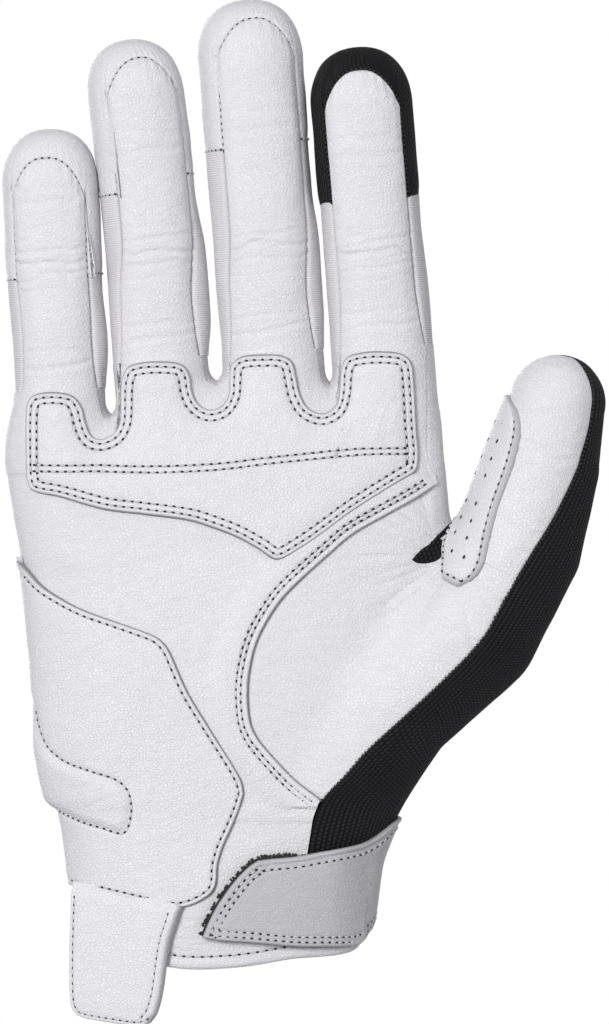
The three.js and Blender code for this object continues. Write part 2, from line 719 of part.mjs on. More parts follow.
function makeGrip() {
  const first = gripTopShares[0][0];
  const last = gripTopShares[gripTopShares.length - 1][0];
  const us = gripTopShares.map((row) => (row[0] - first) / (last - first));
  return overlay("grip_patch", whiteLeather, us, [0, 0.3, 0.55, 0.7, 0.85, 1], {
    sides: [first, last],
    lower: (share) => lineAt(gripBottomShares, share),
    upper: (share) => lineAt(gripTopShares, share),
    low: gripGap, high: gripGap + overlayThickness,
  });
}

// How far the heel panel is lifted by the pad below it at a place across and up.
function padLift(x, z) {
  const acrossPad = (x / palmSpan - padSideShares[0]) / (padSideShares[1] - padSideShares[0]);
  const low = handLength * mix(...padLowShares, acrossPad);
  const high = handLength * mix(...padHighShares, acrossPad);
  const outsideX = Math.max(palmSpan * padSideShares[0] - x, x - palmSpan * padSideShares[1], 0);
  const outsideZ = Math.max(low - z, z - high, 0);
  return 1 - THREE.MathUtils.smoothstep(Math.hypot(outsideX, outsideZ), padFade / 3, padFade);
}

function heelPlace(u, v) {
  const z = handLength * mix(tableAt(heelLowShares, u), tableAt(heelHighShares, u), v);
  return fromPalm(mix(edgeOf(z, -1), palmSpan * heelRightShare, u), z);
}

function makeHeel() {
  const lift = (u, v) => {
    const point = heelPlace(u, v);
    return gap + (padThickness + gap) * padLift(point.x, point.z);
  };
  return shell("heel_panel", whiteLeather, {
    us: [0, 0.1, 0.2, 0.32, 0.44, 0.55, 0.64, 0.72, 0.8, 0.88, 0.95, 1], vs: evenly(12),
    place: heelPlace, low: lift, high: (u, v) => lift(u, v) + overlayThickness,
  });
}

function makeHeelPad() {
  const acrossPad = (share) => (share - padSideShares[0]) / (padSideShares[1] - padSideShares[0]);
  return overlay("heel_pad", foam, evenly(4), evenly(3), {
    sides: padSideShares,
    lower: (share) => mix(...padLowShares, acrossPad(share)),
    upper: (share) => mix(...padHighShares, acrossPad(share)),
    low: gap, high: gap + padThickness,
  });
}

function makeHem() {
  return overlay("cuff_hem", whiteLeather, evenly(9), evenly(2), {
    sides: hemSideShares,
    lower: (share) => tableAt(hemBottomShares, share),
    upper: () => hemTopShare,
    low: -leatherThickness, high: 0,
  });
}

// Inner sock of the hand, open at the wrist and at the fingers, with a hole for the thumb.
function makeLining() {
  const us = evenly(18).slice(0, -1);
  const place = (u, v) => handPlace(360 * u, mix(liningLow, handLength * liningTopShare, v));
  const sock = shell("lining", liningCloth, {
    us, vs: evenly(8), place, field: handField, along: upwards, ring: true,
    low: -leatherThickness - 2 * gap - liningThickness, high: -leatherThickness - 2 * gap,
  });
  const way = ballPlaces[2].clone().sub(ballPlaces[0]);
  const hole = new THREE.CylinderGeometry(thumbHoleRadius, thumbHoleRadius, way.length(), 16);
  hole.applyQuaternion(new THREE.Quaternion().setFromUnitVectors(upwards, way.clone().normalize()));
  hole.translate(...ballPlaces[1].toArray());
  return cutFrom(sock, meshOf("hole", liningCloth, trianglesOf(hole)));
}

function trianglesOf(geometry) {
  const flat = geometry.toNonIndexed().attributes.position;
  const corner = (i) => new THREE.Vector3().fromBufferAttribute(flat, i);
  return Array.from({ length: flat.count / 3 }, (_, i) => [3 * i, 3 * i + 1, 3 * i + 2].map(corner));
}

// Padded guard over the knuckles, with a swelling over each one.
function makeGuard() {
  const middleX = (guardSideShares[0] + guardSideShares[1]) / 2;
  const place = (u, v) => {
    const share = mix(...guardSideShares, u);
    const ends = 1 - guardEndShare * Math.abs((share - middleX) / (guardSideShares[1] - middleX)) ** 4;
    const z = handLength * tableAt(guardMiddleShares, share) + guardHeight * ends * (v - 0.5);
    return fromBack(palmSpan * share, z);
  };
  const bulge = (u, v) => {
    const x = palmSpan * mix(...guardSideShares, u);
    const away = Math.min(...fingers.map((finger) => Math.abs(x - finger.baseX) / finger.baseWidth));
    return guardBulge * Math.sin(Math.PI * v) * Math.cos(Math.PI * Math.min(away, 0.5));
  };
  const top = (u, v) => 2 * gap + guardThickness + bulge(u, v);
  return shell("knuckle_guard", guardRubber, {
    us: evenly(20), vs: evenly(5), place, low: 2 * gap, high: top,
  });
}

// Rounds an angle's sine or cosine to the squareness of a finger.
const fingerRound = (value) => Math.sign(value) * Math.abs(value) ** (2 / fingerPower);

// A digit gives points on its skin at an angle from its palm side and a distance from its crease.
for (const finger of fingers) {
  finger.field = (p) => fingerField(finger, p);
  finger.place = (degrees, t) => {
    const angle = toRadians(degrees);
    const beyond = clamp((t - finger.length + tipClosing) / tipClosing, 0, 1);
    const closing = (1 - beyond ** fingerPower) ** (1 / fingerPower);
    const side = closing * halfWidthAt(finger, t) * fingerRound(Math.sin(angle)) + bowAt(finger, t);
    const point = finger.base.clone().addScaledVector(finger.along, t);
    point.addScaledVector(finger.across, side);
    point.y -= (closing * finger.depth * fingerRound(Math.cos(angle))) / 2;
    return point;
  };
}

const thumb = {
  name: "thumb", length: thumbReach + tipRadius, knuckleAt: thumbKnuckleAt,
  archBelow: thumbArchBelow, field: thumbField, base: thumbCrease,
  along: new THREE.Vector3(...thumbLeanShares).normalize(),
};
thumb.across = new THREE.Vector3(thumb.along.z, 0, -thumb.along.x);
const thumbAxis = new THREE.CatmullRomCurve3([thumb.base, ballPlaces[4], ballPlaces[5]]);
const thumbTipLean = ballPlaces[5].clone().sub(ballPlaces[4]).setY(0).normalize();

// Centre and direction of the thumb at a distance from its crease.
function thumbRow(t) {
  const along = thumb.along.clone().lerp(thumbTipLean, clamp(t / thumb.knuckleAt, 0, 1)).normalize();
  return { along, centre: thumbAxis.getPointAt(clamp(t / thumbReach, 0, 1)) };
}

thumb.place = (degrees, t) => {
  const { along, centre } = thumbRow(t);
  const across = new THREE.Vector3(along.z, 0, -along.x);
  const angle = toRadians(degrees);
  const beyond = clamp((t - thumbReach) / tipRadius, 0, 1);
  const reach = tipRadius * Math.sqrt(1 - beyond ** 2);
  const point = centre.addScaledVector(along, tipRadius * beyond);
  point.addScaledVector(across, reach * Math.sin(angle));
  point.y -= reach * Math.cos(angle);
  return beyond > 0 ? point : settle(thumbField, point, along);
};

// A shell over part of a digit between two angles and two distances.
function digitShell(digit, name, material, options) {
  const { angles, from, to, columns, rows, low = -leatherThickness, high = 0, along } = options;
  const place = (u, v) => {
    const degrees = mix(...angles, u);
    const start = typeof from === "function" ? from(degrees) : from;
    const end = typeof to === "function" ? to(degrees) : to;
    return digit.place(degrees, mix(start, end, v));
  };
  return shell(`${digit.name}_${name}`, material, {
    us: evenly(columns), vs: evenly(rows), place, low, high, field: digit.field, along,
  });
}

// Distance of the arched top of the front panel at an angle.
function archAt(digit, half, degrees) {
  return digit.length - digit.archBelow - archDrop * (Math.abs(degrees) / half) ** 2.4;
}

// A cap over the tip: its lower edge follows the arch in front, the band at the sides and the back.
function tipCap(digit, name, material, lowerEdge) {
  const angles = lowerEdge.map((row) => row[0]);
  const place = (u, v) => {
    const column = Math.round(u * angles.length) % angles.length;
    const start = lowerEdge[column][1];
    return digit.place(angles[column], digit.length - (digit.length - start) * (1 - v) ** 2);
  };
  return shell(`${digit.name}_${name}`, material, {
    us: angles.map((_, i) => i / angles.length), vs: evenly(5), place,
    low: -leatherThickness, high: 0, field: digit.field, ring: true,
  });
}

// Mirrors the right half of a cap's edge to its left half.
function bothSides(half) {
  const left = half.slice(1, -1).reverse().map(([degrees, t]) => [360 - degrees, t]);
  return [...half, ...left];
}

function makeFinger(finger) {
  const upwardsHere = finger.along;
  const start = flexGap / 2;
  const knuckle = finger.knuckleAt;
  const skin = finger.name === "index" ? blackKnit : whiteLeather;
  const sideStart = frontHalfAngle + seamAngle;
  const sideEnd = 180 - backHalfAngle;
  const lower = { from: start, to: knuckle - start, rows: 3, along: upwardsHere };
  const arch = (degrees) => archAt(finger, frontHalfAngle, degrees);
  add(
    digitShell(finger, "front_lower", whiteLeather, {
      ...lower, angles: [-frontHalfAngle, frontHalfAngle], columns: 8,
    }),
    digitShell(finger, "side_right_lower", ribTextile, {
      ...lower, angles: [sideStart, sideEnd], columns: 3,
    }),
    digitShell(finger, "back_lower", blackKnit, {
      ...lower, angles: [sideEnd + seamAngle, 360 - sideEnd - seamAngle], columns: 8,
    }),
    digitShell(finger, "side_left_lower", ribTextile, {
      ...lower, angles: [360 - sideEnd, 360 - sideStart], columns: 3,
    }),
    digitShell(finger, "front_upper", whiteLeather, {
      angles: [-frontHalfAngle, frontHalfAngle], from: knuckle + start, to: arch, columns: 8, rows: 8,
    }),
    digitShell(finger, "back_upper", blackKnit, {
      angles: [sideEnd + 2 * seamAngle, 360 - sideEnd - 2 * seamAngle], from: knuckle + start,
      to: finger.length - capBack - gap, columns: 8, rows: 3, along: upwardsHere,
    }),
  );
  const strip = {
    from: knuckle + start, to: finger.bandAt - gap, columns: 2, rows: 2, along: upwardsHere,
  };
  if (finger.bandAt - knuckle > finger.depth / 4) {
    add(
      digitShell(finger, "side_right_upper", ribTextile, { ...strip, angles: [sideStart, sideEnd] }),
      digitShell(finger, "side_left_upper", ribTextile, {
        ...strip, angles: [360 - sideEnd, 360 - sideStart],
      }),
    );
  }
  const archColumns = evenly(4).slice(0, -1).map((share) => share * frontHalfAngle);
  const half = archColumns.map((degrees) => [degrees, arch(degrees) + gap]);
  half.push([sideStart, arch(frontHalfAngle) + gap]);
  half.push([sideStart + seamAngle / 2, finger.bandAt]);
  half.push([(sideStart + sideEnd) / 2, finger.bandAt], [sideEnd, finger.bandAt]);
  half.push([sideEnd + seamAngle / 2, finger.length - capBack]);
  half.push([150, finger.length - capBack], [180, finger.length - capBack]);
  add(tipCap(finger, "tip_cap", skin, bothSides(half)));
}

function makeThumb() {
  const start = flexGap / 2;
  const knuckle = thumb.knuckleAt;
  const edge = (t) => tableAt(thumbEdgeShares, t / thumbReach);
  const placed = (digit, low, high) => (u, v) => {
    const t = mix(low, high, v);
    return digit.place(mix(thumbInnerAngle, edge(t), u), t);
  };
  const common = { low: -leatherThickness, high: 0, field: thumbField };
  const backPlace = (low, high) => (u, v) => {
    const t = mix(low, high, v);
    return thumb.place(mix(edge(t) + seamAngle, 360 + thumbInnerAngle - seamAngle, u), t);
  };
  add(
    shell("thumb_front_lower", whiteLeather, {
      us: evenly(9), vs: evenly(4), place: placed(thumb, start, knuckle - start), ...common,
      along: thumb.along,
    }),
    shell("thumb_back_lower", blackKnit, {
      us: evenly(12), vs: evenly(4), place: backPlace(start, knuckle - start), ...common,
      along: thumb.along,
    }),
  );
  const top = (degrees) => archAt(thumb, thumbArchAngle, degrees - thumbArchMiddle);
  const frontPlace = (u, v) => {
    const degrees = mix(-thumbArchAngle, thumbArchAngle, u) + thumbArchMiddle;
    return thumb.place(degrees, mix(knuckle + start, top(degrees), v));
  };
  add(
    shell("thumb_front_upper", whiteLeather, { us: evenly(8), vs: evenly(5), place: frontPlace, ...common }),
  );
  const edges = evenly(8).map((share) => {
    const degrees = mix(-thumbArchAngle, thumbArchAngle, share) + thumbArchMiddle;
    return [degrees, top(degrees) + gap];
  });
  edges[0][0] -= seamAngle;
  edges[8][0] += seamAngle;
  const low = knuckle + start;
  const around = spanned(edges[8][0] + seamAngle / 2, edges[0][0] + 360 - seamAngle / 2, 8);
  add(tipCap(thumb, "back_upper", blackKnit, [...edges, ...around.map((degrees) => [degrees, low])]));

  const patch = { low: 3 * gap, high: 3 * gap + overlayThickness, field: thumbField };
  const patchPlace = (from, to) => (u, v) => {
    const t = mix(from, to, v);
    const inner = tableAt(thumbPatchInnerShares, t / thumbReach);
    return thumb.place(mix(inner, tableAt(thumbPatchOuterShares, t / thumbReach), u), t);
  };
  const patchEnd = thumbReach * thumbPatchEndShare;
  add(
    shell("thumb_crotch_patch", whiteLeather, {
      us: evenly(5), vs: evenly(4), place: patchPlace(start, knuckle - start), ...patch,
      along: thumb.along,
    }),
    shell("thumb_crotch_patch_tip", whiteLeather, {
      us: evenly(5), vs: evenly(2), place: patchPlace(knuckle + start, patchEnd), ...patch,
    }),
  );
}

// The strap lies over its hook lining, which lies over the loop pad.
function makeStrap() {
  const first = strapTopShares[0][0];
  const last = strapTopShares[strapTopShares.length - 1][0];
  const edges = {
    lower: (share) => tableAt(strapBottomShares, share), upper: (share) => tableAt(strapTopShares, share),
  };
  const columns = [0, 0.08, 0.19, 0.29, 0.42, 0.58, 0.74, 0.88, 1];
  const hookLow = 2 * gap + hookThickness;
  const strapLow = hookLow + hookThickness + 1.5 * gap;
  add(
    overlay("loop_pad", hookTape, evenly(6), evenly(2), {
      sides: loopSideShares, lower: () => loopHeightShares[0], upper: () => loopHeightShares[1],
      low: gap, high: gap + hookThickness,
    }),
    overlay("strap_hook_lining", hookTape, columns, evenly(2), {
      sides: [first, hookEndShare], ...edges, low: hookLow, high: hookLow + hookThickness,
    }),
    overlay("wrist_strap", strapWeb, columns, evenly(3), {
      sides: [first, last], ...edges, low: strapLow, high: strapLow + strapThickness,
    }),
  );
  const angleOf = (z) => {
    const s = handSection(z);
    return THREE.MathUtils.radToDeg(Math.asin(((palmSpan * last - s.middle) / s.half) ** (s.power / 2)));
  };
  const place = (u, v) => {
    const top = mix(tableAt(strapTopShares, last), anchorTopShare, THREE.MathUtils.smoothstep(u, 0, 0.4));
    const z = handLength * mix(tableAt(strapBottomShares, last), top, v);
    const angle = mix(angleOf(z) + 3 * seamAngle, anchorAngle, u);
    return settle(gloveField, handPlace(angle, z), upwards);
  };
  const low = (u) => {
    const level = mix(strapLow, 2 * gap, THREE.MathUtils.smoothstep(u, 0, 0.5));
    return level + strapStandOff * Math.sin(Math.PI * Math.sqrt(u));
  };
  add(
    shell("strap_anchor", strapWeb, {
      us: evenly(7), vs: evenly(3), place, low, high: (u) => low(u) + strapThickness, along: upwards,
    }),
  );
}

// Leather tab below the heel panel: a flat strip with a rounded end, hung along the wrist's curve.
function makeTab() {
  const half = tabWidth / 2;
  const outline = new THREE.Shape();
  outline.moveTo(-half, 0);
  outline.lineTo(-half + tabTaper / 4, -tabLength + tabCorner);
  outline.quadraticCurveTo(-half + tabTaper / 4, -tabLength, -half + tabTaper / 4 + tabCorner, -tabLength);
  outline.lineTo(half - tabTaper - tabCorner, -tabLength - tabDrop);
  outline.quadraticCurveTo(half - tabTaper, -tabLength - tabDrop, half - tabTaper, -tabLength + tabCorner);
  outline.lineTo(half, -tabDrop);
  outline.closePath();
  const settings = { depth: tabThickness, bevelEnabled: false, curveSegments: 5 };
  const solid = new THREE.ExtrudeGeometry(outline, settings);
  solid.translate(0, 0, -tabThickness / 2);
  solid.rotateX(Math.PI / 2);
  solid.rotateZ(-toRadians(tabTurn));
  const mesh = meshOf("pull_tab", whiteLeather, trianglesOf(solid));
  mesh.position.copy(placeOf(tabPlaceShares));
  return mesh;
}

const gussetPath = gussetShares.map(([x, z]) => [palmSpan * x, handLength * z]);
const gussetDepths = (u) => [-gussetFront, mix(-gussetTopShare * gussetFront, gussetBack, u)];
const webDepths = () => [-webFront, webBack];
add(makePalm(), makeMound(), makeSide(), makeBack());
add(makeGrip(), makeHeel(), makeHeelPad(), makeHem(), makeLining(), makeGuard());
add(
  makeWeb("web_pinky_ring", ribTextile, webPath(fingers[0], fingers[1]), webDepths),
  makeWeb("web_ring_middle", ribTextile, webPath(fingers[1], fingers[2]), webDepths),
  makeWeb("web_middle_index", ribTextile, webPath(fingers[2], fingers[3]), webDepths),
  makeWeb("thumb_gusset", blackKnit, gussetPath, gussetDepths),
);
fingers.forEach(makeFinger);
makeThumb();
makeStrap();
add(makeTab());

export default glove;
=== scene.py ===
import json
import math

import bmesh
import bpy
import numpy as np
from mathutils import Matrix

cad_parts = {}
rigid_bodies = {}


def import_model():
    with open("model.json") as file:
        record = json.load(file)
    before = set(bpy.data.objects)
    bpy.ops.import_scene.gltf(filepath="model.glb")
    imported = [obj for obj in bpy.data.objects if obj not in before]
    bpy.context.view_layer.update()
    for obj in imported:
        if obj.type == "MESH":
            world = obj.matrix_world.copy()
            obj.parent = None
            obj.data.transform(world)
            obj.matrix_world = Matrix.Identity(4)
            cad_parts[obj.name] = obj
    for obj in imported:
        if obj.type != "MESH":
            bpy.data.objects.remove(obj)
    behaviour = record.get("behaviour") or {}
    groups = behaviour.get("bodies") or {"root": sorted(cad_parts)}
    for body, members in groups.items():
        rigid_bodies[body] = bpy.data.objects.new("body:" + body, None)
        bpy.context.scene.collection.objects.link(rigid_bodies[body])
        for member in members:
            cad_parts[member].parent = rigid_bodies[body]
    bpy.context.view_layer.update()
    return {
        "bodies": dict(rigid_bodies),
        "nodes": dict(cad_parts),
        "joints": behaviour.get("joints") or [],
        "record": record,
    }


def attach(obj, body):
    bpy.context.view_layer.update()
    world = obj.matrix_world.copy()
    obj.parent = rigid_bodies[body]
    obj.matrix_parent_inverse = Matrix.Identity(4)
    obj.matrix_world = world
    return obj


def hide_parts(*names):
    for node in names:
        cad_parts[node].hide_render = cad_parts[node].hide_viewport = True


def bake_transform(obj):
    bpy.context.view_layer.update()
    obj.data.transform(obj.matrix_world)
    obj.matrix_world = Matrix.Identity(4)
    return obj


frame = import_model()
print("frame loaded")

# Right-hand riding glove, palm towards -Y and fingers up. Shapes are worked out in millimetres
# and put into the meshes in metres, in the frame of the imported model.
millimetre = 0.001
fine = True

# ---- camera and light

cameraSettings = {"middle": (18.1, 109.5), "away": 3000.0, "frameHeight": 256.0}
cameraData = bpy.data.cameras.new("camera")
cameraData.sensor_fit = "VERTICAL"
cameraData.sensor_height = 36
cameraData.lens = 36 * cameraSettings["away"] / cameraSettings["frameHeight"]
cameraData.clip_end = 20
camera = bpy.data.objects.new("camera", cameraData)
camera.location = (
    cameraSettings["middle"][0] * millimetre,
    -cameraSettings["away"] * millimetre,
    cameraSettings["middle"][1] * millimetre,
)
camera.rotation_euler = (math.radians(90), 0, 0)
bpy.context.collection.objects.link(camera)
bpy.context.scene.camera = camera
bpy.context.scene.view_settings.view_transform = "Standard"

# Each lamp: place in metres, size in metres, and how bright it lights a white surface that faces it
lamps = {
    "keyLamp": {"at": (-1.1, -2.5, 0.65), "size": 0.9, "level": 0.82},
    "fillLamp": {"at": (1.9, -1.5, 0.3), "size": 1.2, "level": 0.15},
    "topLamp": {"at": (0.1, -0.2, 2.2), "size": 1.0, "level": 0.1},
    "backLamp": {"at": (-0.6, 2.6, 0.5), "size": 1.4, "level": 0.36},
}
for lampName, lamp in lamps.items():
    lampData = bpy.data.lights.new(lampName, "AREA")
    lampData.size = lamp["size"]
    away = np.array(lamp["at"]) - np.array([0.018, 0, 0.11])
    lampData.energy = lamp["level"] * math.pi**2 * float(away @ away)
    lampObject = bpy.data.objects.new(lampName, lampData)
    lampObject.location = lamp["at"]
    tilt = math.atan2(math.hypot(away[0], away[1]), away[2])
    lampObject.rotation_euler = (tilt, 0, math.atan2(away[0], -away[1]))
    bpy.context.collection.objects.link(lampObject)

world = bpy.data.worlds.new("studio")
world.use_nodes = True
bpy.context.scene.world = world
worldTree = world.node_tree
worldTree.nodes.clear()
lightPath = worldTree.nodes.new("ShaderNodeLightPath")
seenByCamera = worldTree.nodes.new("ShaderNodeMath")
seenByCamera.operation = "MAXIMUM"
seenByGlass = worldTree.nodes.new("ShaderNodeMath")
seenByGlass.operation = "MAXIMUM"
worldTree.links.new(lightPath.outputs["Is Camera Ray"], seenByCamera.inputs[0])
worldTree.links.new(lightPath.outputs["Is Glossy Ray"], seenByGlass.inputs[0])
worldTree.links.new(lightPath.outputs["Is Transmission Ray"], seenByGlass.inputs[1])
worldTree.links.new(seenByGlass.outputs[0], seenByCamera.inputs[1])
ambient = worldTree.nodes.new("ShaderNodeBackground")
ambient.inputs["Color"].default_value = (0.94, 0.96, 1.0, 1)
ambient.inputs["Strength"].default_value = 0.34
backdrop = worldTree.nodes.new("ShaderNodeBackground")
backdrop.inputs["Color"].default_value = (1, 1, 1, 1)
backdrop.inputs["Strength"].default_value = 1.0
worldMix = worldTree.nodes.new("ShaderNodeMixShader")
worldOut = worldTree.nodes.new("ShaderNodeOutputWorld")
worldTree.links.new(seenByCamera.outputs[0], worldMix.inputs[0])
worldTree.links.new(ambient.outputs[0], worldMix.inputs[1])
worldTree.links.new(backdrop.outputs[0], worldMix.inputs[2])
worldTree.links.new(worldMix.outputs[0], worldOut.inputs[0])
print("camera and light made")

# ---- the skin of the glove, as one smooth field

hand = {"span": 104, "length": 149, "depth": 38, "closing": 28, "fillet": 4.5, "thumbFillet": 6}
fingers = [
    {"name": "pinky", "baseX": -43, "baseZ": 140, "length": 65, "drift": -3, "bow": 0,
     "baseWidth": 22.4, "width": 23.6, "depth": 22, "knuckleAt": 32, "twist": -4.5, "fuller": (0.3, 1.25),
     "bandLeft": 27.0, "bandRight": 27.6, "archBelow": 7},
    {"name": "ring", "baseX": -18, "baseZ": 147.5, "length": 80.2, "drift": -7.8, "bow": 0.9,
     "baseWidth": 23.8, "width": 23.6, "depth": 23.4, "knuckleAt": 27.5, "twist": 12.0, "fuller": (1.15, 1.5),
     "bandLeft": 41.1, "bandRight": 44.6, "archBelow": 4.5},
    {"name": "middle", "baseX": 10.1, "baseZ": 149.5, "length": 88, "drift": -6.6, "bow": 0,
     "baseWidth": 25.4, "width": 25.6, "depth": 24, "knuckleAt": 27, "twist": 9.0, "fuller": (1.5, 0.9),
     "bandLeft": 50.1, "bandRight": 51.4, "archBelow": 4.5},
    {"name": "index", "baseX": 37.5, "baseZ": 150.2, "length": 75.5, "drift": -6.4, "bow": 0,
     "baseWidth": 25.6, "width": 24.8, "depth": 23.6, "knuckleAt": 24.5, "twist": 0.0, "fuller": (0.9, 0.2),
     "bandLeft": 36.6, "bandRight": 36.8, "archBelow": 5.5},
]
digit = {"root": 30, "closing": 15, "power": 2.3, "archDrop": 10, "capBack": 16}
thumbBalls = np.array([
    [24.5, -1, 37.5, 15], [40.8, -5, 61.2, 15.6], [60, -6, 80, 16.6],
    [71.6, -5, 100.5, 15.6], [77.6, -4, 120.5, 14.2], [81.5, -3, 136.8, 11.9],
])
leftShares = [
    [0.008, -0.375], [0.114, -0.392], [0.23, -0.418], [0.26, -0.444], [0.36, -0.471],
    [0.51, -0.486], [0.66, -0.507], [0.77, -0.534], [0.91, -0.546], [1.02, -0.519],
]
rightShares = [
    [0.008, 0.318], [0.08, 0.332], [0.19, 0.362], [0.25, 0.39], [0.3, 0.416], [0.42, 0.447],
    [0.55, 0.486], [0.69, 0.519], [0.79, 0.514], [0.95, 0.488], [1.02, 0.478],
]
frontShares = [[0, 0.42], [0.2, 0.45], [0.45, 0.49], [0.7, 0.45], [0.88, 0.36], [1, 0.32]]
backShares = [[0, 0.42], [0.2, 0.45], [0.45, 0.5], [0.7, 0.5], [0.88, 0.44], [1, 0.35]]
roundnessShares = [[0, 2.3], [0.3, 2.4], [0.7, 2.8], [1, 3.4]]
crotchShares = [
    [-0.5, 0.98], [-0.4, 0.94], [-0.305, 0.9], [-0.053, 0.95], [0.214, 0.95], [0.36, 0.96], [0.5, 0.99],
]


# Value of a table of rows at a key: a cubic between rows, whose slope at a row is that between its neighbours.
def tableAt(rows, key):
    rows = np.asarray(rows, float)
    keys, values = rows[:, 0], rows[:, 1]
    before = np.maximum(np.arange(len(keys)) - 1, 0)
    after = np.minimum(np.arange(len(keys)) + 1, len(keys) - 1)
    slopes = (values[after] - values[before]) / (keys[after] - keys[before])
    key = np.clip(key, keys[0], keys[-1])
    i = np.clip(np.searchsorted(keys, key, side="right") - 1, 0, len(keys) - 2)
    span = keys[i + 1] - keys[i]
    t = (key - keys[i]) / span
    rise = t * t * (3 - 2 * t)
    return (
        values[i] * (1 - rise) + values[i + 1] * rise
        + slopes[i] * t * (1 - t) ** 2 * span + slopes[i + 1] * t * t * (t - 1) * span
    )


def smoothStep(value, low, high):
    t = np.clip((value - low) / (high - low), 0, 1)
    return t * t * (3 - 2 * t)


def mix(a, b, share):
    return a + (b - a) * share


# Smooth least of two distances: their mean, less a rounding that is largest where they are equal.
def smoothMin(a, b, fillet):
    h = np.clip(0.5 + (b - a) / (2 * fillet), 0, 1)
    return b + (a - b) * h - fillet * h * (1 - h)


# Distance to an oval: the root of the summed powers of offset over half width, over its slope.
def ovalDistance(offsets, halves, power):
    parts = [np.abs(offset) / half for offset, half in zip(offsets, halves)]
    total = sum(part**power for part in parts)
    size = np.maximum(total ** (1 / power), 1e-6)
    slopes = [(part / size) ** (power - 1) / half for part, half in zip(parts, halves)]
    steep = np.sqrt(sum(slope**2 for slope in slopes))
    widest = np.maximum.reduce([np.broadcast_to(half, np.shape(size)) for half in halves])
    return (size - 1) / np.maximum(steep, 0.5 / widest)


def handSection(z):
    up = z / hand["length"]
    left = hand["span"] * tableAt(leftShares, up)
    right = hand["span"] * tableAt(rightShares, up)
    return (
        (left + right) / 2, (right - left) / 2, hand["depth"] * tableAt(frontShares, up),
        hand["depth"] * tableAt(backShares, up), tableAt(roundnessShares, up),
    )


def handField(p):
    middle, half, front, back, power = handSection(p[..., 2])
    top = hand["length"] * tableAt(crotchShares, p[..., 0] / hand["span"])
    closing = np.maximum(p[..., 2] - top + hand["closing"], 0)
    depth = np.where(p[..., 1] < 0, front, back)
    return ovalDistance([p[..., 0] - middle, p[..., 1], closing], [half, depth, hand["closing"]], power)


for finger in fingers:
    rise = math.sqrt(finger["length"] ** 2 - finger["drift"] ** 2)
    finger["base"] = np.array([finger["baseX"], 0, finger["baseZ"]], float)
    finger["along"] = np.array([finger["drift"], 0, rise]) / finger["length"]
    finger["across"] = np.array([finger["along"][2], 0, -finger["along"][0]])


def halfWidthAt(finger, t):
    fill = smoothStep(t, 0, finger["knuckleAt"])
    return mix(finger["baseWidth"], finger["width"], fill) / 2


def bowAt(finger, t):
    return finger["bow"] * np.sin(math.pi * np.clip(t / finger["length"], 0, 1))


def fingerField(finger, p):
    away = p - finger["base"]
    t = away @ finger["along"]
    side = away @ finger["across"] - bowAt(finger, t)
    beyond = np.maximum(t - finger["length"] + digit["closing"], 0)
    below = np.maximum(-t - digit["root"] + digit["closing"], 0)
    halves = [halfWidthAt(finger, t), finger["depth"] / 2, digit["closing"]]
    return ovalDistance([side, away[..., 1], np.maximum(beyond, below)], halves, digit["power"])


# Distance to the thumb: the least, over its balls taken in pairs, of the distance to the line
# between their centres less a radius that changes evenly along it.
def thumbField(p):
    nearest = np.full(p.shape[:-1], np.inf)
    for first, second in zip(thumbBalls[:-1], thumbBalls[1:]):
        run = second[:3] - first[:3]
        share = np.clip(((p - first[:3]) @ run) / (run @ run), 0, 1)
        centre = first[:3] + share[..., None] * run
        away = np.linalg.norm(p - centre, axis=-1) - mix(first[3], second[3], share)
        nearest = np.minimum(nearest, away)
    return nearest


def gloveField(p):
    low, high = p[..., 2].min(), p[..., 2].max()
    whole = smoothMin(handField(p), thumbField(p), hand["thumbFillet"]) if low < 190 else thumbField(p)
    if high < 105:
        return whole
    digits = np.minimum.reduce([fingerField(finger, p) for finger in fingers])
    return smoothMin(whole, digits, hand["fillet"])


# Outward direction: four samples of the field at the corners of a small tetrahedron.
def outward(field, p, along=None):
    corners = np.array([[1, -1, -1], [-1, -1, 1], [-1, 1, -1], [1, 1, 1]], float)
    normal = sum(corner * field(p + 0.05 * corner)[..., None] for corner in corners)
    if along is not None:
        normal = normal - np.sum(normal * along, axis=-1, keepdims=True) * along
    return normal / np.maximum(np.linalg.norm(normal, axis=-1), 1e-9)[..., None]


# Moves points onto the skin along their outward direction, by Newton steps.
def settle(field, p, along=None, steps=5):
    for _ in range(steps):
        normal = outward(field, p, along)
        away = field(p)
        slope = np.maximum((field(p + 0.05 * normal) - away) / 0.05, 0.3)
        p = p - (away / slope)[..., None] * normal
    return p


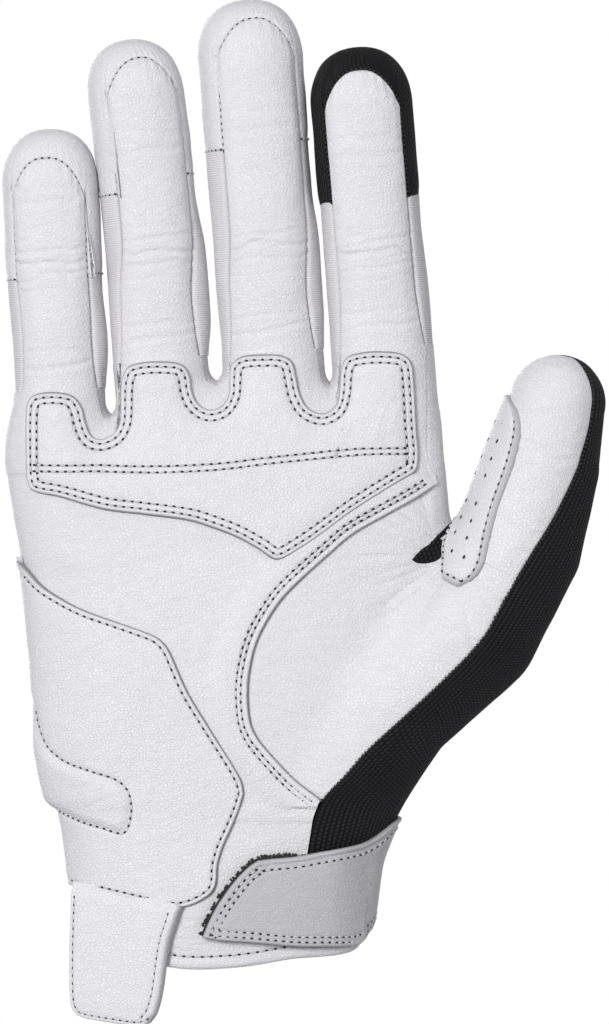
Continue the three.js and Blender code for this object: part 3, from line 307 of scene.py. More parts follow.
# Depth of the skin seen from the palm (facing 1) or the back (facing -1): the ray is halved
# towards the first crossing, on a coarse grid that is then filled in and corrected.
def skinSeen(facing, x, z):
    def halved(xs, zs, steps):
        outside = np.full(xs.shape, -32.0 * facing)
        inside = np.zeros(xs.shape)
        for _ in range(steps):
            middle = (outside + inside) / 2
            free = gloveField(np.stack([xs, middle, zs], -1)) > 0
            outside = np.where(free, middle, outside)
            inside = np.where(free, inside, middle)
        return (outside + inside) / 2

    if x.ndim == 1 or min(x.shape) < 12:
        return np.stack([x, halved(x, z, 14), z], -1)
    rows = np.unique(np.r_[np.arange(0, x.shape[0], 3), x.shape[0] - 1])
    columns = np.unique(np.r_[np.arange(0, x.shape[1], 3), x.shape[1] - 1])
    coarse = halved(x[np.ix_(rows, columns)], z[np.ix_(rows, columns)], 13)
    across = np.array([np.interp(np.arange(x.shape[1]), columns, row) for row in coarse])
    y = np.array([np.interp(np.arange(x.shape[0]), rows, column) for column in across.T]).T
    for _ in range(3):
        away = gloveField(np.stack([x, y, z], -1))
        ahead = gloveField(np.stack([x, y - 0.05 * facing, z], -1))
        slope = np.maximum((ahead - away) / 0.05, 0.25)
        y = np.clip(y * facing + np.clip(away / slope, -2, 2), -32, 0) * facing
    return np.stack([x, y, z], -1)


# Smooth noise from -1 to 1: random values at the corners of a cubic lattice, blended between them.
def noiseAt(p, size, seed=0):
    q = p / size + seed * 7.3
    cell = np.floor(q).astype(np.int64)
    part = q - cell
    part = part * part * (3 - 2 * part)
    total = np.zeros(p.shape[:-1])
    for corner in np.ndindex(2, 2, 2):
        at = cell + np.array(corner)
        mixed = (at[..., 0] * 73856093) ^ (at[..., 1] * 19349663) ^ (at[..., 2] * 83492791) ^ (seed * 2654435)
        mixed = (mixed ^ (mixed >> 13)) * 1274126177 & 0xFFFFFFFF
        mixed = (mixed ^ (mixed >> 15)) * 2246822519 & 0xFFFFFFFF
        value = (mixed & 0xFFFFFF) / 0xFFFFFF
        weight = np.prod([part[..., k] if corner[k] else 1 - part[..., k] for k in range(3)], axis=0)
        total += weight * value
    return 2 * total - 1


# Distance from points across and up to a line of points, and how far along it the nearest one is.
def lineDistance(x, z, line):
    line = np.asarray(line, float)
    starts, runs = line[:-1], line[1:] - line[:-1]
    lengths = np.linalg.norm(runs, axis=1)
    reached = np.r_[0, np.cumsum(lengths)[:-1]]
    best = np.full(x.shape, np.inf)
    where = np.zeros(x.shape)
    for start, run, length, before in zip(starts, runs, lengths, reached):
        share = np.clip(((x - start[0]) * run[0] + (z - start[1]) * run[1]) / max(length**2, 1e-9), 0, 1)
        away = np.hypot(x - start[0] - share * run[0], z - start[1] - share * run[1])
        nearer = away < best
        best = np.where(nearer, away, best)
        where = np.where(nearer, before + share * length, where)
    return best, where


# A line of points resampled at an even spacing, on a smooth curve through its rows.
def smoothLine(points, spacing=0.6):
    points = np.asarray(points, float)
    steps = np.r_[0, np.cumsum(np.linalg.norm(np.diff(points, axis=0), axis=1))]
    dense = np.linspace(0, steps[-1], 12 * len(points))
    curve = np.stack([tableAt(np.c_[steps, points[:, k]], dense) for k in range(points.shape[1])], -1)
    lengths = np.r_[0, np.cumsum(np.linalg.norm(np.diff(curve, axis=0), axis=1))]
    even = np.linspace(0, lengths[-1], max(int(lengths[-1] / spacing), 2) + 1)
    return np.stack([np.interp(even, lengths, curve[:, k]) for k in range(points.shape[1])], -1)


# Places of the photograph's seams, in pixels across and down, turned to millimetres across and up.
def placed(*pixels):
    return [((across - 232) / 4, (950 - down) / 4) for across, down in pixels]


print("skin field ready")

# ---- meshes from grids


# Normals of a grid: the cross product of its steps along the two parameters, turned outwards.
def gridNormals(grid, wrap=False):
    if wrap:
        across = np.roll(grid, -1, axis=1) - np.roll(grid, 1, axis=1)
    else:
        across = np.gradient(grid, axis=1)
    normal = np.cross(across, np.gradient(grid, axis=0))
    normal /= np.maximum(np.linalg.norm(normal, axis=-1), 1e-9)[..., None]
    probe = grid[grid.shape[0] // 2, :: max(grid.shape[1] // 7, 1)]
    lean = normal[grid.shape[0] // 2, :: max(grid.shape[1] // 7, 1)]
    rises = gloveField(probe + 0.4 * lean) - gloveField(probe - 0.4 * lean)
    return normal if rises.sum() > 0 else -normal


# Distances along the grid from its chosen borders: l and r along rows, b and t along columns.
def borderDistance(grid, borders):
    across = np.linalg.norm(np.diff(grid, axis=1), axis=-1)
    upward = np.linalg.norm(np.diff(grid, axis=0), axis=-1)
    fromLeft = np.concatenate([np.zeros((grid.shape[0], 1)), np.cumsum(across, axis=1)], axis=1)
    fromBottom = np.concatenate([np.zeros((1, grid.shape[1])), np.cumsum(upward, axis=0)], axis=0)
    choices = {
        "l": fromLeft, "r": fromLeft[:, -1:] - fromLeft,
        "b": fromBottom, "t": fromBottom[-1:] - fromBottom,
    }
    if not borders:
        return np.full(grid.shape[:2], 1e3)
    return np.minimum.reduce([choices[border] for border in borders])


# Height of a border that rolls down: a quarter circle of a given radius, squeezed to a depth.
def rolled(distance, radius, depth):
    rest = 1 - np.clip(distance / radius, 0, 1)
    return -depth * (1 - np.sqrt(np.maximum(1 - rest**2, 0)))


# Puts a closed shell into a mesh: outer and inner faces over the same grid, and a rim between them.
def shellObject(name, outer, inner, wrap=False, pole=False, values=None, uvScale=1.0):
    rows, columns = outer.shape[:2]
    count = rows * columns
    index = np.arange(count).reshape(rows, columns)
    wide = columns if wrap else columns - 1
    i, j = np.meshgrid(np.arange(rows - 1), np.arange(wide), indexing="ij")
    i, j = i.ravel(), j.ravel()
    k = (j + 1) % columns
    quads = np.stack([index[i, j], index[i, k], index[i + 1, k], index[i + 1, j]], -1)
    first = outer[i, j]
    faceNormal = np.cross(outer[i, k] - first, outer[i + 1, j] - first)
    turned = np.sum(faceNormal * (outer[i, j] - inner[i, j])) < 0
    if wrap:
        edges = [(index[0, (c + 1) % columns], index[0, c]) for c in range(columns)]
        if not pole:
            edges += [(index[-1, c], index[-1, (c + 1) % columns]) for c in range(columns)]
    else:
        loop = np.r_[index[0, :-1], index[:-1, -1], index[-1, :0:-1], index[:0:-1, 0]]
        edges = list(zip(np.roll(loop, -1), loop))
    edges = np.array(edges)
    rim = np.stack([edges[:, 0], edges[:, 1], edges[:, 1] + count, edges[:, 0] + count], -1)
    faces = np.concatenate([quads, quads[:, ::-1] + count, rim])
    lengths = np.linalg.norm(np.diff(outer, axis=1), axis=-1).mean(axis=0)
    heights = np.linalg.norm(np.diff(outer, axis=0), axis=-1).mean(axis=1)
    us = np.r_[0, np.cumsum(lengths)]
    us = np.r_[us, us[-1] + lengths.mean()]
    vs = np.r_[0, np.cumsum(heights)]
    uvQuads = np.stack([
        np.stack([us[j], vs[i]], -1), np.stack([us[j + 1], vs[i]], -1),
        np.stack([us[j + 1], vs[i + 1]], -1), np.stack([us[j], vs[i + 1]], -1),
    ], axis=1)
    uvRim = np.zeros((len(rim), 4, 2))
    uvs = np.concatenate([uvQuads, uvQuads[:, ::-1], uvRim])
    if turned:
        faces, uvs = faces[:, ::-1], uvs[:, ::-1]
    points = np.concatenate([outer.reshape(-1, 3), inner.reshape(-1, 3)]) * millimetre
    mesh = bpy.data.meshes.new(name)
    mesh.vertices.add(len(points))
    mesh.vertices.foreach_set("co", points.astype(np.float32).ravel())
    mesh.loops.add(faces.size)
    mesh.loops.foreach_set("vertex_index", faces.astype(np.int32).ravel())
    mesh.polygons.add(len(faces))
    mesh.polygons.foreach_set("loop_start", (4 * np.arange(len(faces))).astype(np.int32))
    uvLayer = mesh.uv_layers.new(name="cloth")
    uvLayer.data.foreach_set("uv", (uvs * uvScale / 10).astype(np.float32).ravel())
    pairs = {label: (array, array) for label, array in (values or {}).items()}
    pairs["inside"] = (np.zeros(count), np.ones(count))
    for label, (onOuter, onInner) in pairs.items():
        attribute = mesh.attributes.new(label, "FLOAT", "POINT")
        attribute.data.foreach_set("value", np.r_[onOuter.ravel(), onInner.ravel()].astype(np.float32))
    mesh.update(calc_edges=True)
    if pole:
        closePoles(mesh)
    mesh.validate()
    mesh.shade_smooth()
    mesh.set_sharp_from_angle(angle=math.radians(50))
    piece = bpy.data.objects.new(name, mesh)
    bpy.context.collection.objects.link(piece)
    return piece


# Merges the doubled points of a pole and drops the faces that shrink to nothing.
def closePoles(mesh):
    work = bmesh.new()
    work.from_mesh(mesh)
    bmesh.ops.remove_doubles(work, verts=work.verts, dist=2e-6)
    bmesh.ops.dissolve_degenerate(work, edges=work.edges, dist=1e-7)
    work.to_mesh(mesh)
    work.free()


# ---- shader groups and materials


def newGroup(name, inputs, outputs):
    tree = bpy.data.node_groups.new(name, "ShaderNodeTree")
    for label, kind, value in inputs:
        socket = tree.interface.new_socket(name=label, in_out="INPUT", socket_type=kind)
        if value is not None:
            socket.default_value = value
    for label, kind in outputs:
        tree.interface.new_socket(name=label, in_out="OUTPUT", socket_type=kind)
    return tree, tree.nodes.new("NodeGroupInput").outputs, tree.nodes.new("NodeGroupOutput").inputs


def feed(tree, socket, value):
    if isinstance(value, bpy.types.NodeSocket):
        tree.links.new(value, socket)
    else:
        socket.default_value = value


def maths(tree, operation, a, b=None, c=None):
    step = tree.nodes.new("ShaderNodeMath")
    step.operation = operation
    for socket, value in zip(step.inputs, (a, b, c)):
        if value is not None:
            feed(tree, socket, value)
    return step.outputs[0]


def vectorMaths(tree, operation, a, b=None, scale=None):
    step = tree.nodes.new("ShaderNodeVectorMath")
    step.operation = operation
    feed(tree, step.inputs[0], a)
    if b is not None:
        feed(tree, step.inputs[1], b)
    if scale is not None:
        feed(tree, step.inputs["Scale"], scale)
    return step.outputs["Value" if operation in ("DOT_PRODUCT", "LENGTH") else "Vector"]


def noiseNode(tree, vector, scale, detail=2.0, roughness=0.5):
    step = tree.nodes.new("ShaderNodeTexNoise")
    feed(tree, step.inputs["Vector"], vector)
    feed(tree, step.inputs["Scale"], scale)
    step.inputs["Detail"].default_value = detail
    step.inputs["Roughness"].default_value = roughness
    return step.outputs["Fac"], step.outputs["Color"]


def ranged(tree, value, low, high, toLow=0.0, toHigh=1.0):
    step = tree.nodes.new("ShaderNodeMapRange")
    for label, number in zip(("Value", "From Min", "From Max", "To Min", "To Max"), (value, low, high, toLow, toHigh)):
        feed(tree, step.inputs[label], number)
    return step.outputs[0]


def mixColour(tree, share, a, b, blend="MIX"):
    step = tree.nodes.new("ShaderNodeMix")
    step.data_type = "RGBA"
    step.blend_type = blend
    feed(tree, step.inputs[0], share)
    feed(tree, step.inputs[6], a)
    feed(tree, step.inputs[7], b)
    return step.outputs[2]


# Pebbled grain: raised cells with soft edges, on places shaken by noise, with finer noise over them.
def buildGrain():
    tree, given, out = newGroup(
        "leatherGrain",
        [("Vector", "NodeSocketVector", None), ("Cell", "NodeSocketFloat", 1.0), ("Shake", "NodeSocketFloat", 0.5)],
        [("Height", "NodeSocketFloat"), ("Hollow", "NodeSocketFloat")],
    )
    scale = maths(tree, "DIVIDE", 1.0, given["Cell"])
    _, shake = noiseNode(tree, given["Vector"], maths(tree, "MULTIPLY", scale, 0.8), 3.0)
    shaken = vectorMaths(tree, "ADD", given["Vector"], vectorMaths(tree, "SCALE", shake, scale=given["Shake"]))
    cells = tree.nodes.new("ShaderNodeTexVoronoi")
    cells.feature = "DISTANCE_TO_EDGE"
    feed(tree, cells.inputs["Vector"], shaken)
    feed(tree, cells.inputs["Scale"], scale)
    raised = ranged(tree, cells.outputs["Distance"], 0.0, 0.32)
    raised = maths(tree, "POWER", raised, 0.6)
    dust, _ = noiseNode(tree, given["Vector"], maths(tree, "MULTIPLY", scale, 3.2), 3.0, 0.6)
    broad, _ = noiseNode(tree, given["Vector"], maths(tree, "MULTIPLY", scale, 0.35), 2.0)
    height = maths(tree, "MULTIPLY_ADD", dust, 0.5, raised)
    height = maths(tree, "MULTIPLY_ADD", broad, 0.7, height)
    tree.links.new(height, out["Height"])
    tree.links.new(maths(tree, "SUBTRACT", 1.0, raised), out["Hollow"])
    return tree


# Fine folds: ridges of noise drawn out along one direction of the surface.
def buildFolds():
    tree, given, out = newGroup(
        "fineFolds",
        [("Vector", "NodeSocketVector", None), ("Turn", "NodeSocketFloat", 0.0), ("Spacing", "NodeSocketFloat", 1.6)],
        [("Height", "NodeSocketFloat")],
    )
    turn = tree.nodes.new("ShaderNodeVectorRotate")
    turn.rotation_type = "Y_AXIS"
    feed(tree, turn.inputs["Vector"], given["Vector"])
    feed(tree, turn.inputs["Angle"], given["Turn"])
    drawn = vectorMaths(tree, "MULTIPLY", turn.outputs[0], (0.17, 0.3, 1.0))
    value, _ = noiseNode(tree, drawn, maths(tree, "DIVIDE", 1.0, given["Spacing"]), 3.0, 0.55)
    ridge = maths(tree, "ABSOLUTE", maths(tree, "SUBTRACT", value, 0.5))
    tree.links.new(ranged(tree, ridge, 0.0, 0.16), out["Height"])
    return tree


# Drift of tone: two sizes of noise, as handling and light wear leave them.
def buildTone():
    tree, given, out = newGroup(
        "toneDrift", [("Vector", "NodeSocketVector", None), ("Size", "NodeSocketFloat", 30.0)],
        [("Shade", "NodeSocketFloat")],
    )
    scale = maths(tree, "DIVIDE", 1.0, given["Size"])
    broad, _ = noiseNode(tree, given["Vector"], scale, 3.0, 0.55)
    close, _ = noiseNode(tree, given["Vector"], maths(tree, "MULTIPLY", scale, 9.0), 3.0, 0.6)
    tree.links.new(maths(tree, "MULTIPLY_ADD", close, 0.4, maths(tree, "MULTIPLY", broad, 0.6)), out["Shade"])
    return tree


# Knit: rows of rounded loops, each row set half a loop along, as products of sine waves.
def buildKnit():
    tree, given, out = newGroup(
        "knitLoops",
        [("Vector", "NodeSocketVector", None), ("Wide", "NodeSocketFloat", 1.0), ("Tall", "NodeSocketFloat", 0.8)],
        [("Height", "NodeSocketFloat"), ("Hollow", "NodeSocketFloat")],
    )
    apart = tree.nodes.new("ShaderNodeSeparateXYZ")
    _, wobble = noiseNode(tree, given["Vector"], 0.5, 2.0)
    shaken = vectorMaths(tree, "ADD", given["Vector"], vectorMaths(tree, "SCALE", wobble, scale=0.35))
    feed(tree, apart.inputs[0], shaken)
    across = maths(tree, "DIVIDE", apart.outputs[0], given["Wide"])
    upward = maths(tree, "DIVIDE", apart.outputs[1], given["Tall"])
    row = maths(tree, "FLOOR", across)
    upward = maths(tree, "MULTIPLY_ADD", row, 0.5, upward)
    rib = maths(tree, "ABSOLUTE", maths(tree, "SINE", maths(tree, "MULTIPLY", across, math.pi)))
    loop = maths(tree, "ABSOLUTE", maths(tree, "SINE", maths(tree, "MULTIPLY", upward, math.pi)))
    height = maths(tree, "MULTIPLY", maths(tree, "POWER", rib, 0.7), maths(tree, "MULTIPLY_ADD", loop, 0.65, 0.35))
    tree.links.new(height, out["Height"])
    tree.links.new(maths(tree, "SUBTRACT", 1.0, height), out["Hollow"])
    return tree


# Ribbed cloth: even ribs along one direction, crossed by a faint finer weave.
def buildRibs():
    tree, given, out = newGroup(
        "clothRibs", [("Vector", "NodeSocketVector", None), ("Pitch", "NodeSocketFloat", 0.7)],
        [("Height", "NodeSocketFloat")],
    )
    apart = tree.nodes.new("ShaderNodeSeparateXYZ")
    feed(tree, apart.inputs[0], given["Vector"])
    across = maths(tree, "DIVIDE", apart.outputs[1], given["Pitch"])
    upward = maths(tree, "DIVIDE", apart.outputs[0], maths(tree, "MULTIPLY", given["Pitch"], 0.8))
    rib = maths(tree, "ABSOLUTE", maths(tree, "SINE", maths(tree, "MULTIPLY", across, math.pi)))
    weft = maths(tree, "ABSOLUTE", maths(tree, "SINE", maths(tree, "MULTIPLY", upward, math.pi)))
    tree.links.new(maths(tree, "MULTIPLY_ADD", weft, 0.25, rib), out["Height"])
    return tree


groups = {
    "grain": buildGrain(), "folds": buildFolds(), "tone": buildTone(), "knit": buildKnit(), "ribs": buildRibs(),
}


def useGroup(tree, key, **values):
    step = tree.nodes.new("ShaderNodeGroup")
    step.node_tree = groups[key]
    for label, value in values.items():
        feed(tree, step.inputs[label], value)
    return step.outputs


def newMaterial(name, roughness, specular=0.4, sheen=0.0):
    material = bpy.data.materials.new(name)
    material.use_nodes = True
    tree = material.node_tree
    shader = tree.nodes["Principled BSDF"]
    shader.inputs["Roughness"].default_value = roughness
    shader.inputs["Specular IOR Level"].default_value = specular
    shader.inputs["Sheen Weight"].default_value = sheen
    coordinates = tree.nodes.new("ShaderNodeTexCoord")
    places = vectorMaths(tree, "SCALE", coordinates.outputs["Object"], scale=1000.0)
    cloth = vectorMaths(tree, "SCALE", coordinates.outputs["UV"], scale=10.0)
    return material, tree, shader, places, cloth


def bump(tree, shader, height, distance, strength=1.0):
    step = tree.nodes.new("ShaderNodeBump")
    step.inputs["Strength"].default_value = strength
    step.inputs["Distance"].default_value = distance
    feed(tree, step.inputs["Height"], height)
    tree.links.new(step.outputs["Normal"], shader.inputs["Normal"])


def attributeOf(tree, name):
    step = tree.nodes.new("ShaderNodeAttribute")
    step.attribute_name = name
    return step.outputs["Fac"]


# Leather: pebbled grain and fine folds in the bump, and in the colour the drift of tone, painted shade in
# the grain's hollows, and the cut colour on raw cut edges, which on some pieces is also painted shade along the border.
def leatherMaterial(name, colour, cutEdgeAndShadeColour, cell=1.0, turn=0.3, foldShare=0.6, roughness=0.52, backing=None):
    material, tree, shader, places, _ = newMaterial(name, roughness, 0.42)
    grain = useGroup(tree, "grain", Vector=places, Cell=cell, Shake=0.55 * cell)
    folds = useGroup(tree, "folds", Vector=places, Turn=turn, Spacing=2.1)
    tone = useGroup(tree, "tone", Vector=places, Size=34.0)
    dark = [share * 0.8 for share in colour[:3]] + [1]
    tinted = mixColour(tree, ranged(tree, tone["Shade"], 0.3, 0.7, 0.0, 0.22), colour, dark)
    # The grain's hollows are coloured darker: painted shade.
    tinted = mixColour(tree, maths(tree, "MULTIPLY", grain["Hollow"], 0.16), tinted, dark)
    # The cut colour: raw cut edges, and on some pieces painted shade along the border.
    tinted = mixColour(tree, attributeOf(tree, "cutEdgeAndShade"), tinted, cutEdgeAndShadeColour)
    if backing:
        tinted = mixColour(tree, attributeOf(tree, "inside"), tinted, backing)
    tree.links.new(tinted, shader.inputs["Base Color"])
    rough = ranged(tree, grain["Hollow"], 0.0, 1.0, roughness - 0.06, roughness + 0.12)
    tree.links.new(rough, shader.inputs["Roughness"])
    height = maths(tree, "MULTIPLY_ADD", folds["Height"], foldShare, grain["Height"])
    bump(tree, shader, height, 0.00012)
    return material


def knitMaterial(name, colour, lit, wide=0.95, tall=0.8):
    material, tree, shader, places, cloth = newMaterial(name, 0.85, 0.09, 0.04)
    shader.inputs["Sheen Roughness"].default_value = 0.6
    loops = useGroup(tree, "knit", Vector=cloth, Wide=wide, Tall=tall)
    tone = useGroup(tree, "tone", Vector=places, Size=12.0)
    tinted = mixColour(tree, ranged(tree, loops["Height"], 0.35, 1.0), colour, lit)
    tinted = mixColour(tree, ranged(tree, tone["Shade"], 0.35, 0.7, 0.0, 0.5), tinted, colour)
    tree.links.new(tinted, shader.inputs["Base Color"])
    tree.links.new(ranged(tree, loops["Hollow"], 0.0, 1.0, 0.78, 0.95), shader.inputs["Roughness"])
    bump(tree, shader, loops["Height"], 0.0006)
    return material


def ribMaterial(name, colour):
    material, tree, shader, places, cloth = newMaterial(name, 0.8, 0.3, 0.1)
    ribs = useGroup(tree, "ribs", Vector=cloth, Pitch=0.55)
    tone = useGroup(tree, "tone", Vector=places, Size=10.0)
    dark = [share * 0.86 for share in colour[:3]] + [1]
    # Valleys between the ribs are coloured darker: painted shade.
    tinted = mixColour(tree, ranged(tree, ribs["Height"], 0.0, 0.9, 0.8, 0.0), colour, dark)
    tinted = mixColour(tree, ranged(tree, tone["Shade"], 0.35, 0.7, 0.0, 0.35), tinted, dark)
    tree.links.new(tinted, shader.inputs["Base Color"])
    tree.links.new(ranged(tree, ribs["Height"], 0.0, 1.2, 0.9, 0.72), shader.inputs["Roughness"])
    bump(tree, shader, ribs["Height"], 0.00012)
    return material


# Thread: the colour runs from painted shade at the needle holes to the thread's own colour.
def threadMaterial(name, colour, holeShade):
    material, tree, shader, places, _ = newMaterial(name, 0.6, 0.3, 0.05)
    tone = useGroup(tree, "tone", Vector=places, Size=3.0)
    dark = [share * 0.7 for share in colour[:3]] + [1]
    tinted = mixColour(tree, ranged(tree, tone["Shade"], 0.3, 0.7), colour, dark)
    # Needle holes take the hole colour, a painted shade.
    tinted = mixColour(tree, attributeOf(tree, "hole"), tinted, holeShade)
    tree.links.new(tinted, shader.inputs["Base Color"])
    twist, _ = noiseNode(tree, places, 5.0, 2.0)
    tree.links.new(ranged(tree, twist, 0.3, 0.7, 0.5, 0.7), shader.inputs["Roughness"])
    bump(tree, shader, twist, 0.00006)
    return material


# Hook tape: small stiff hooks as bright points over black; the bright raised cells are a painted highlight, the dark
# hollows painted shade.
def hookMaterial(name):
    material, tree, shader, places, cloth = newMaterial(name, 0.7, 0.4, 0.1)
    grain = useGroup(tree, "grain", Vector=places, Cell=0.7, Shake=0.5)
    # Raised cells lighter, hollows darker: painted highlight and painted shade.
    tinted = mixColour(tree, grain["Hollow"], (0.028, 0.028, 0.031, 1), (0.006, 0.006, 0.007, 1))
    tree.links.new(tinted, shader.inputs["Base Color"])
    bump(tree, shader, grain["Height"], 0.0004)
    return material


# The second colour of each leather is its cut colour: raw cut edges, and on some pieces painted shade along the border.
finishes = {
    "white": leatherMaterial("whiteLeather", (0.745, 0.738, 0.768, 1), (0.24, 0.235, 0.25, 1), 0.78),
    "mound": leatherMaterial("moundLeather", (0.745, 0.738, 0.768, 1), (0.24, 0.235, 0.25, 1), 0.8, -0.25, 0.8),
    "tip": leatherMaterial("tipLeather", (0.72, 0.712, 0.742, 1), (0.24, 0.235, 0.25, 1), 0.85, 0.3, 0.3),
    "strap": leatherMaterial("strapLeather", (0.53, 0.525, 0.555, 1), (0.2, 0.2, 0.21, 1), 0.62, 0.1, 0.3, 0.45,
                             (0.008, 0.008, 0.009, 1)),
    "knit": knitMaterial("blackKnit", (0.003, 0.003, 0.004, 1), (0.03, 0.03, 0.035, 1), 1.2, 0.95),
    "capKnit": knitMaterial("capKnit", (0.004, 0.004, 0.005, 1), (0.02, 0.02, 0.024, 1), 0.8, 0.7),
    "ribs": ribMaterial("ribbedTextile", (0.72, 0.70, 0.725, 1)),
    "lining": knitMaterial("liningCloth", (0.02, 0.02, 0.024, 1), (0.06, 0.06, 0.066, 1), 0.8, 0.8),
    # The second colour of each thread is painted shade in its needle holes.
    "thread": threadMaterial("greyThread", (0.66, 0.65, 0.69, 1), (0.012, 0.012, 0.014, 1)),
    "blackThread": threadMaterial("blackThread", (0.016, 0.016, 0.019, 1), (0.008, 0.008, 0.009, 1)),
    "hook": hookMaterial("hookTape"),
    "guard": knitMaterial("guardCloth", (0.010, 0.010, 0.012, 1), (0.034, 0.034, 0.039, 1), 1.4, 1.4),
}
print("materials made")

# ---- finishing a piece: material, body (or, given a bend, its transform baked in) and the nodes it stands for


def finish(piece, finishName, body, nodes=(), bend=None):
    piece.data.materials.append(finishes[finishName])
    if bend is None:
        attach(piece, body)
    else:
        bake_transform(piece)
    if nodes:
        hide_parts(*nodes)
    return piece


def shellOn(name, base, height, thickness, wrap=False, pole=False, values=None, normals=None):
    normals = gridNormals(base, wrap) if normals is None else normals
    low = height - thickness if np.isscalar(thickness) else thickness
    outer = base + height[..., None] * normals
    inner = base + low[..., None] * normals
    values = dict(values or {})
    values.setdefault("cutEdgeAndShade", np.zeros(base.shape[:2]))
    return shellObject(name, outer, inner, wrap, pole, values)


# Spacings that close in on one or both ends: steps given from the border inwards, then even ones.
def spaced(length, count, nearLow=(), nearHigh=()):
    low = np.array(nearLow, float) / length
    high = 1 - np.array(nearHigh, float)[::-1] / length
    start = low[-1] if len(low) else 0.0
    end = high[0] if len(high) else 1.0
    even = np.linspace(start, end, max(count, 2))
    return np.unique(np.r_[low[:-1] if len(low) else [], even, high[1:] if len(high) else []])


edgeSteps = (0, 0.08, 0.2, 0.36, 0.56, 0.8, 1.1, 1.45, 1.85, 2.3, 2.8, 3.3)


# ---- stitches


# One stitch, as a closed ring profile: a capsule of six sides that dips at both ends.
def stitchTemplate(length, width, height):
    stations = np.array([-0.5, -0.36, 0.0, 0.36, 0.5])
    swell = np.array([0.35, 0.85, 1.0, 0.85, 0.35])
    angles = np.arange(6) * math.pi / 3
    rings = []
    for station, share in zip(stations, swell):
        drop = -height * 0.9 * (2 * abs(station)) ** 3
        rings.append(np.stack([
            np.full(6, station * length), share * width / 2 * np.cos(angles),
            share * height / 2 * np.sin(angles) + height * 0.2 + drop,
        ], -1))
    points = np.concatenate(rings)
    faces = [
        (6 * i + j, 6 * i + (j + 1) % 6, 6 * i + 6 + (j + 1) % 6, 6 * i + 6 + j)
        for i in range(4) for j in range(6)
    ]
    caps = [(5, 4, 3, 2), (5, 2, 1, 0), (24, 25, 26, 27), (24, 27, 28, 29)]
    return points, np.array([face for face in faces + caps]), np.zeros(30)


# A needle hole: a low lens of six sides, coloured dark as painted shade in the hole.
def holeTemplate(width, long):
    angles = np.arange(6) * math.pi / 3
    ring = np.stack([long / 2 * np.cos(angles), width / 2 * np.sin(angles), np.full(6, 0.0)], -1)
    top = ring * 0.55 + np.array([0, 0, 0.06])
    low = ring * 0.8 - np.array([0, 0, 0.25])
    points = np.concatenate([low, ring, top])
    faces = [(6 * i + j, 6 * i + (j + 1) % 6, 6 * i + 6 + (j + 1) % 6, 6 * i + 6 + j) for i in range(2) for j in range(6)]
    caps = [(5, 4, 3, 2), (5, 2, 1, 0), (12, 13, 14, 15), (12, 15, 16, 17)]
    return points, np.array(faces + caps), np.ones(18)


# Copies of a template along frames: places, directions along and outward directions.
def repeated(template, places, forward, upward):
    points, faces, hole = template
    forward = forward / np.linalg.norm(forward, axis=-1)[:, None]
    upward = upward - np.sum(upward * forward, -1)[:, None] * forward
    upward = upward / np.linalg.norm(upward, axis=-1)[:, None]
    aside = np.cross(upward, forward)
    axes = np.stack([forward, aside, upward], 1)
    spread = places[:, None] + np.einsum("pk,nkc->npc", points, axes)
    shifted = faces[None] + (np.arange(len(places)) * len(points))[:, None, None]
    return spread.reshape(-1, 3), shifted.reshape(-1, 4), np.tile(hole, len(places))


def piecesObject(name, parts):
    points, faces, holes, before = [], [], [], 0
    for spread, shifted, hole in parts:
        points.append(spread)
        faces.append(shifted + before)
        holes.append(hole)
        before += len(spread)
    points, faces, holes = np.concatenate(points), np.concatenate(faces), np.concatenate(holes)
    mesh = bpy.data.meshes.new(name)
    mesh.vertices.add(len(points))
    mesh.vertices.foreach_set("co", (points * millimetre).astype(np.float32).ravel())
    mesh.loops.add(faces.size)
    mesh.loops.foreach_set("vertex_index", faces.astype(np.int32).ravel())
    mesh.polygons.add(len(faces))
    mesh.polygons.foreach_set("loop_start", (4 * np.arange(len(faces))).astype(np.int32))
    attribute = mesh.attributes.new("hole", "FLOAT", "POINT")
    attribute.data.foreach_set("value", holes.astype(np.float32))
    mesh.update(calc_edges=True)
    mesh.validate()
    mesh.shade_smooth()
    piece = bpy.data.objects.new(name, mesh)
    bpy.context.collection.objects.link(piece)
    return piece


stitching = {"pitch": 2.1, "length": 1.4, "width": 0.58, "height": 0.38, "holeWidth": 0.6, "holeLong": 0.95}


# Stitches along a line on the surface: threads between needle holes, all at an even pitch.
def stitchParts(line, upward, pitch=None):
    pitch = pitch or stitching["pitch"]
    lengths = np.r_[0, np.cumsum(np.linalg.norm(np.diff(line, axis=0), axis=1))]
    count = max(int(round(lengths[-1] / pitch)), 1)

    def at(distance):
        place = np.stack([np.interp(distance, lengths, line[:, k]) for k in range(3)], -1)
        lift = np.stack([np.interp(distance, lengths, upward[:, k]) for k in range(3)], -1)
        return place, lift

    middles = (np.arange(count) + 0.5) * lengths[-1] / count
    holes = np.arange(count + 1) * lengths[-1] / count
    thread = stitchTemplate(stitching["length"], stitching["width"], stitching["height"])
    hole = holeTemplate(stitching["holeWidth"], stitching["holeLong"])
    parts = []
    for template, spots in ((thread, middles), (hole, holes)):
        place, lift = at(spots)
        ahead, _ = at(np.minimum(spots + 0.4, lengths[-1]))
        behind, _ = at(np.maximum(spots - 0.4, 0))
        parts.append(repeated(template, place, ahead - behind, lift))
    return parts


# A line given across and up, laid on the skin seen from the palm at a height above it.
def laidLine(line, height):
    line = np.asarray(line, float)
    base = skinSeen(1, line[:, 0], line[:, 1])
    normal = outward(gloveField, base)
    lift = height(line[:, 0], line[:, 1]) if callable(height) else height
    return base + np.reshape(lift, (-1, 1)) * normal, normal


# A line moved sideways by a distance, to the left of its own direction when that is positive.
def movedAside(line, distance):
    line = np.asarray(line, float)
    along = np.gradient(line, axis=0)
    along /= np.linalg.norm(along, axis=1)[:, None]
    return line + distance * np.stack([-along[:, 1], along[:, 0]], -1)


# ---- outlines of the panels, across and up in millimetres

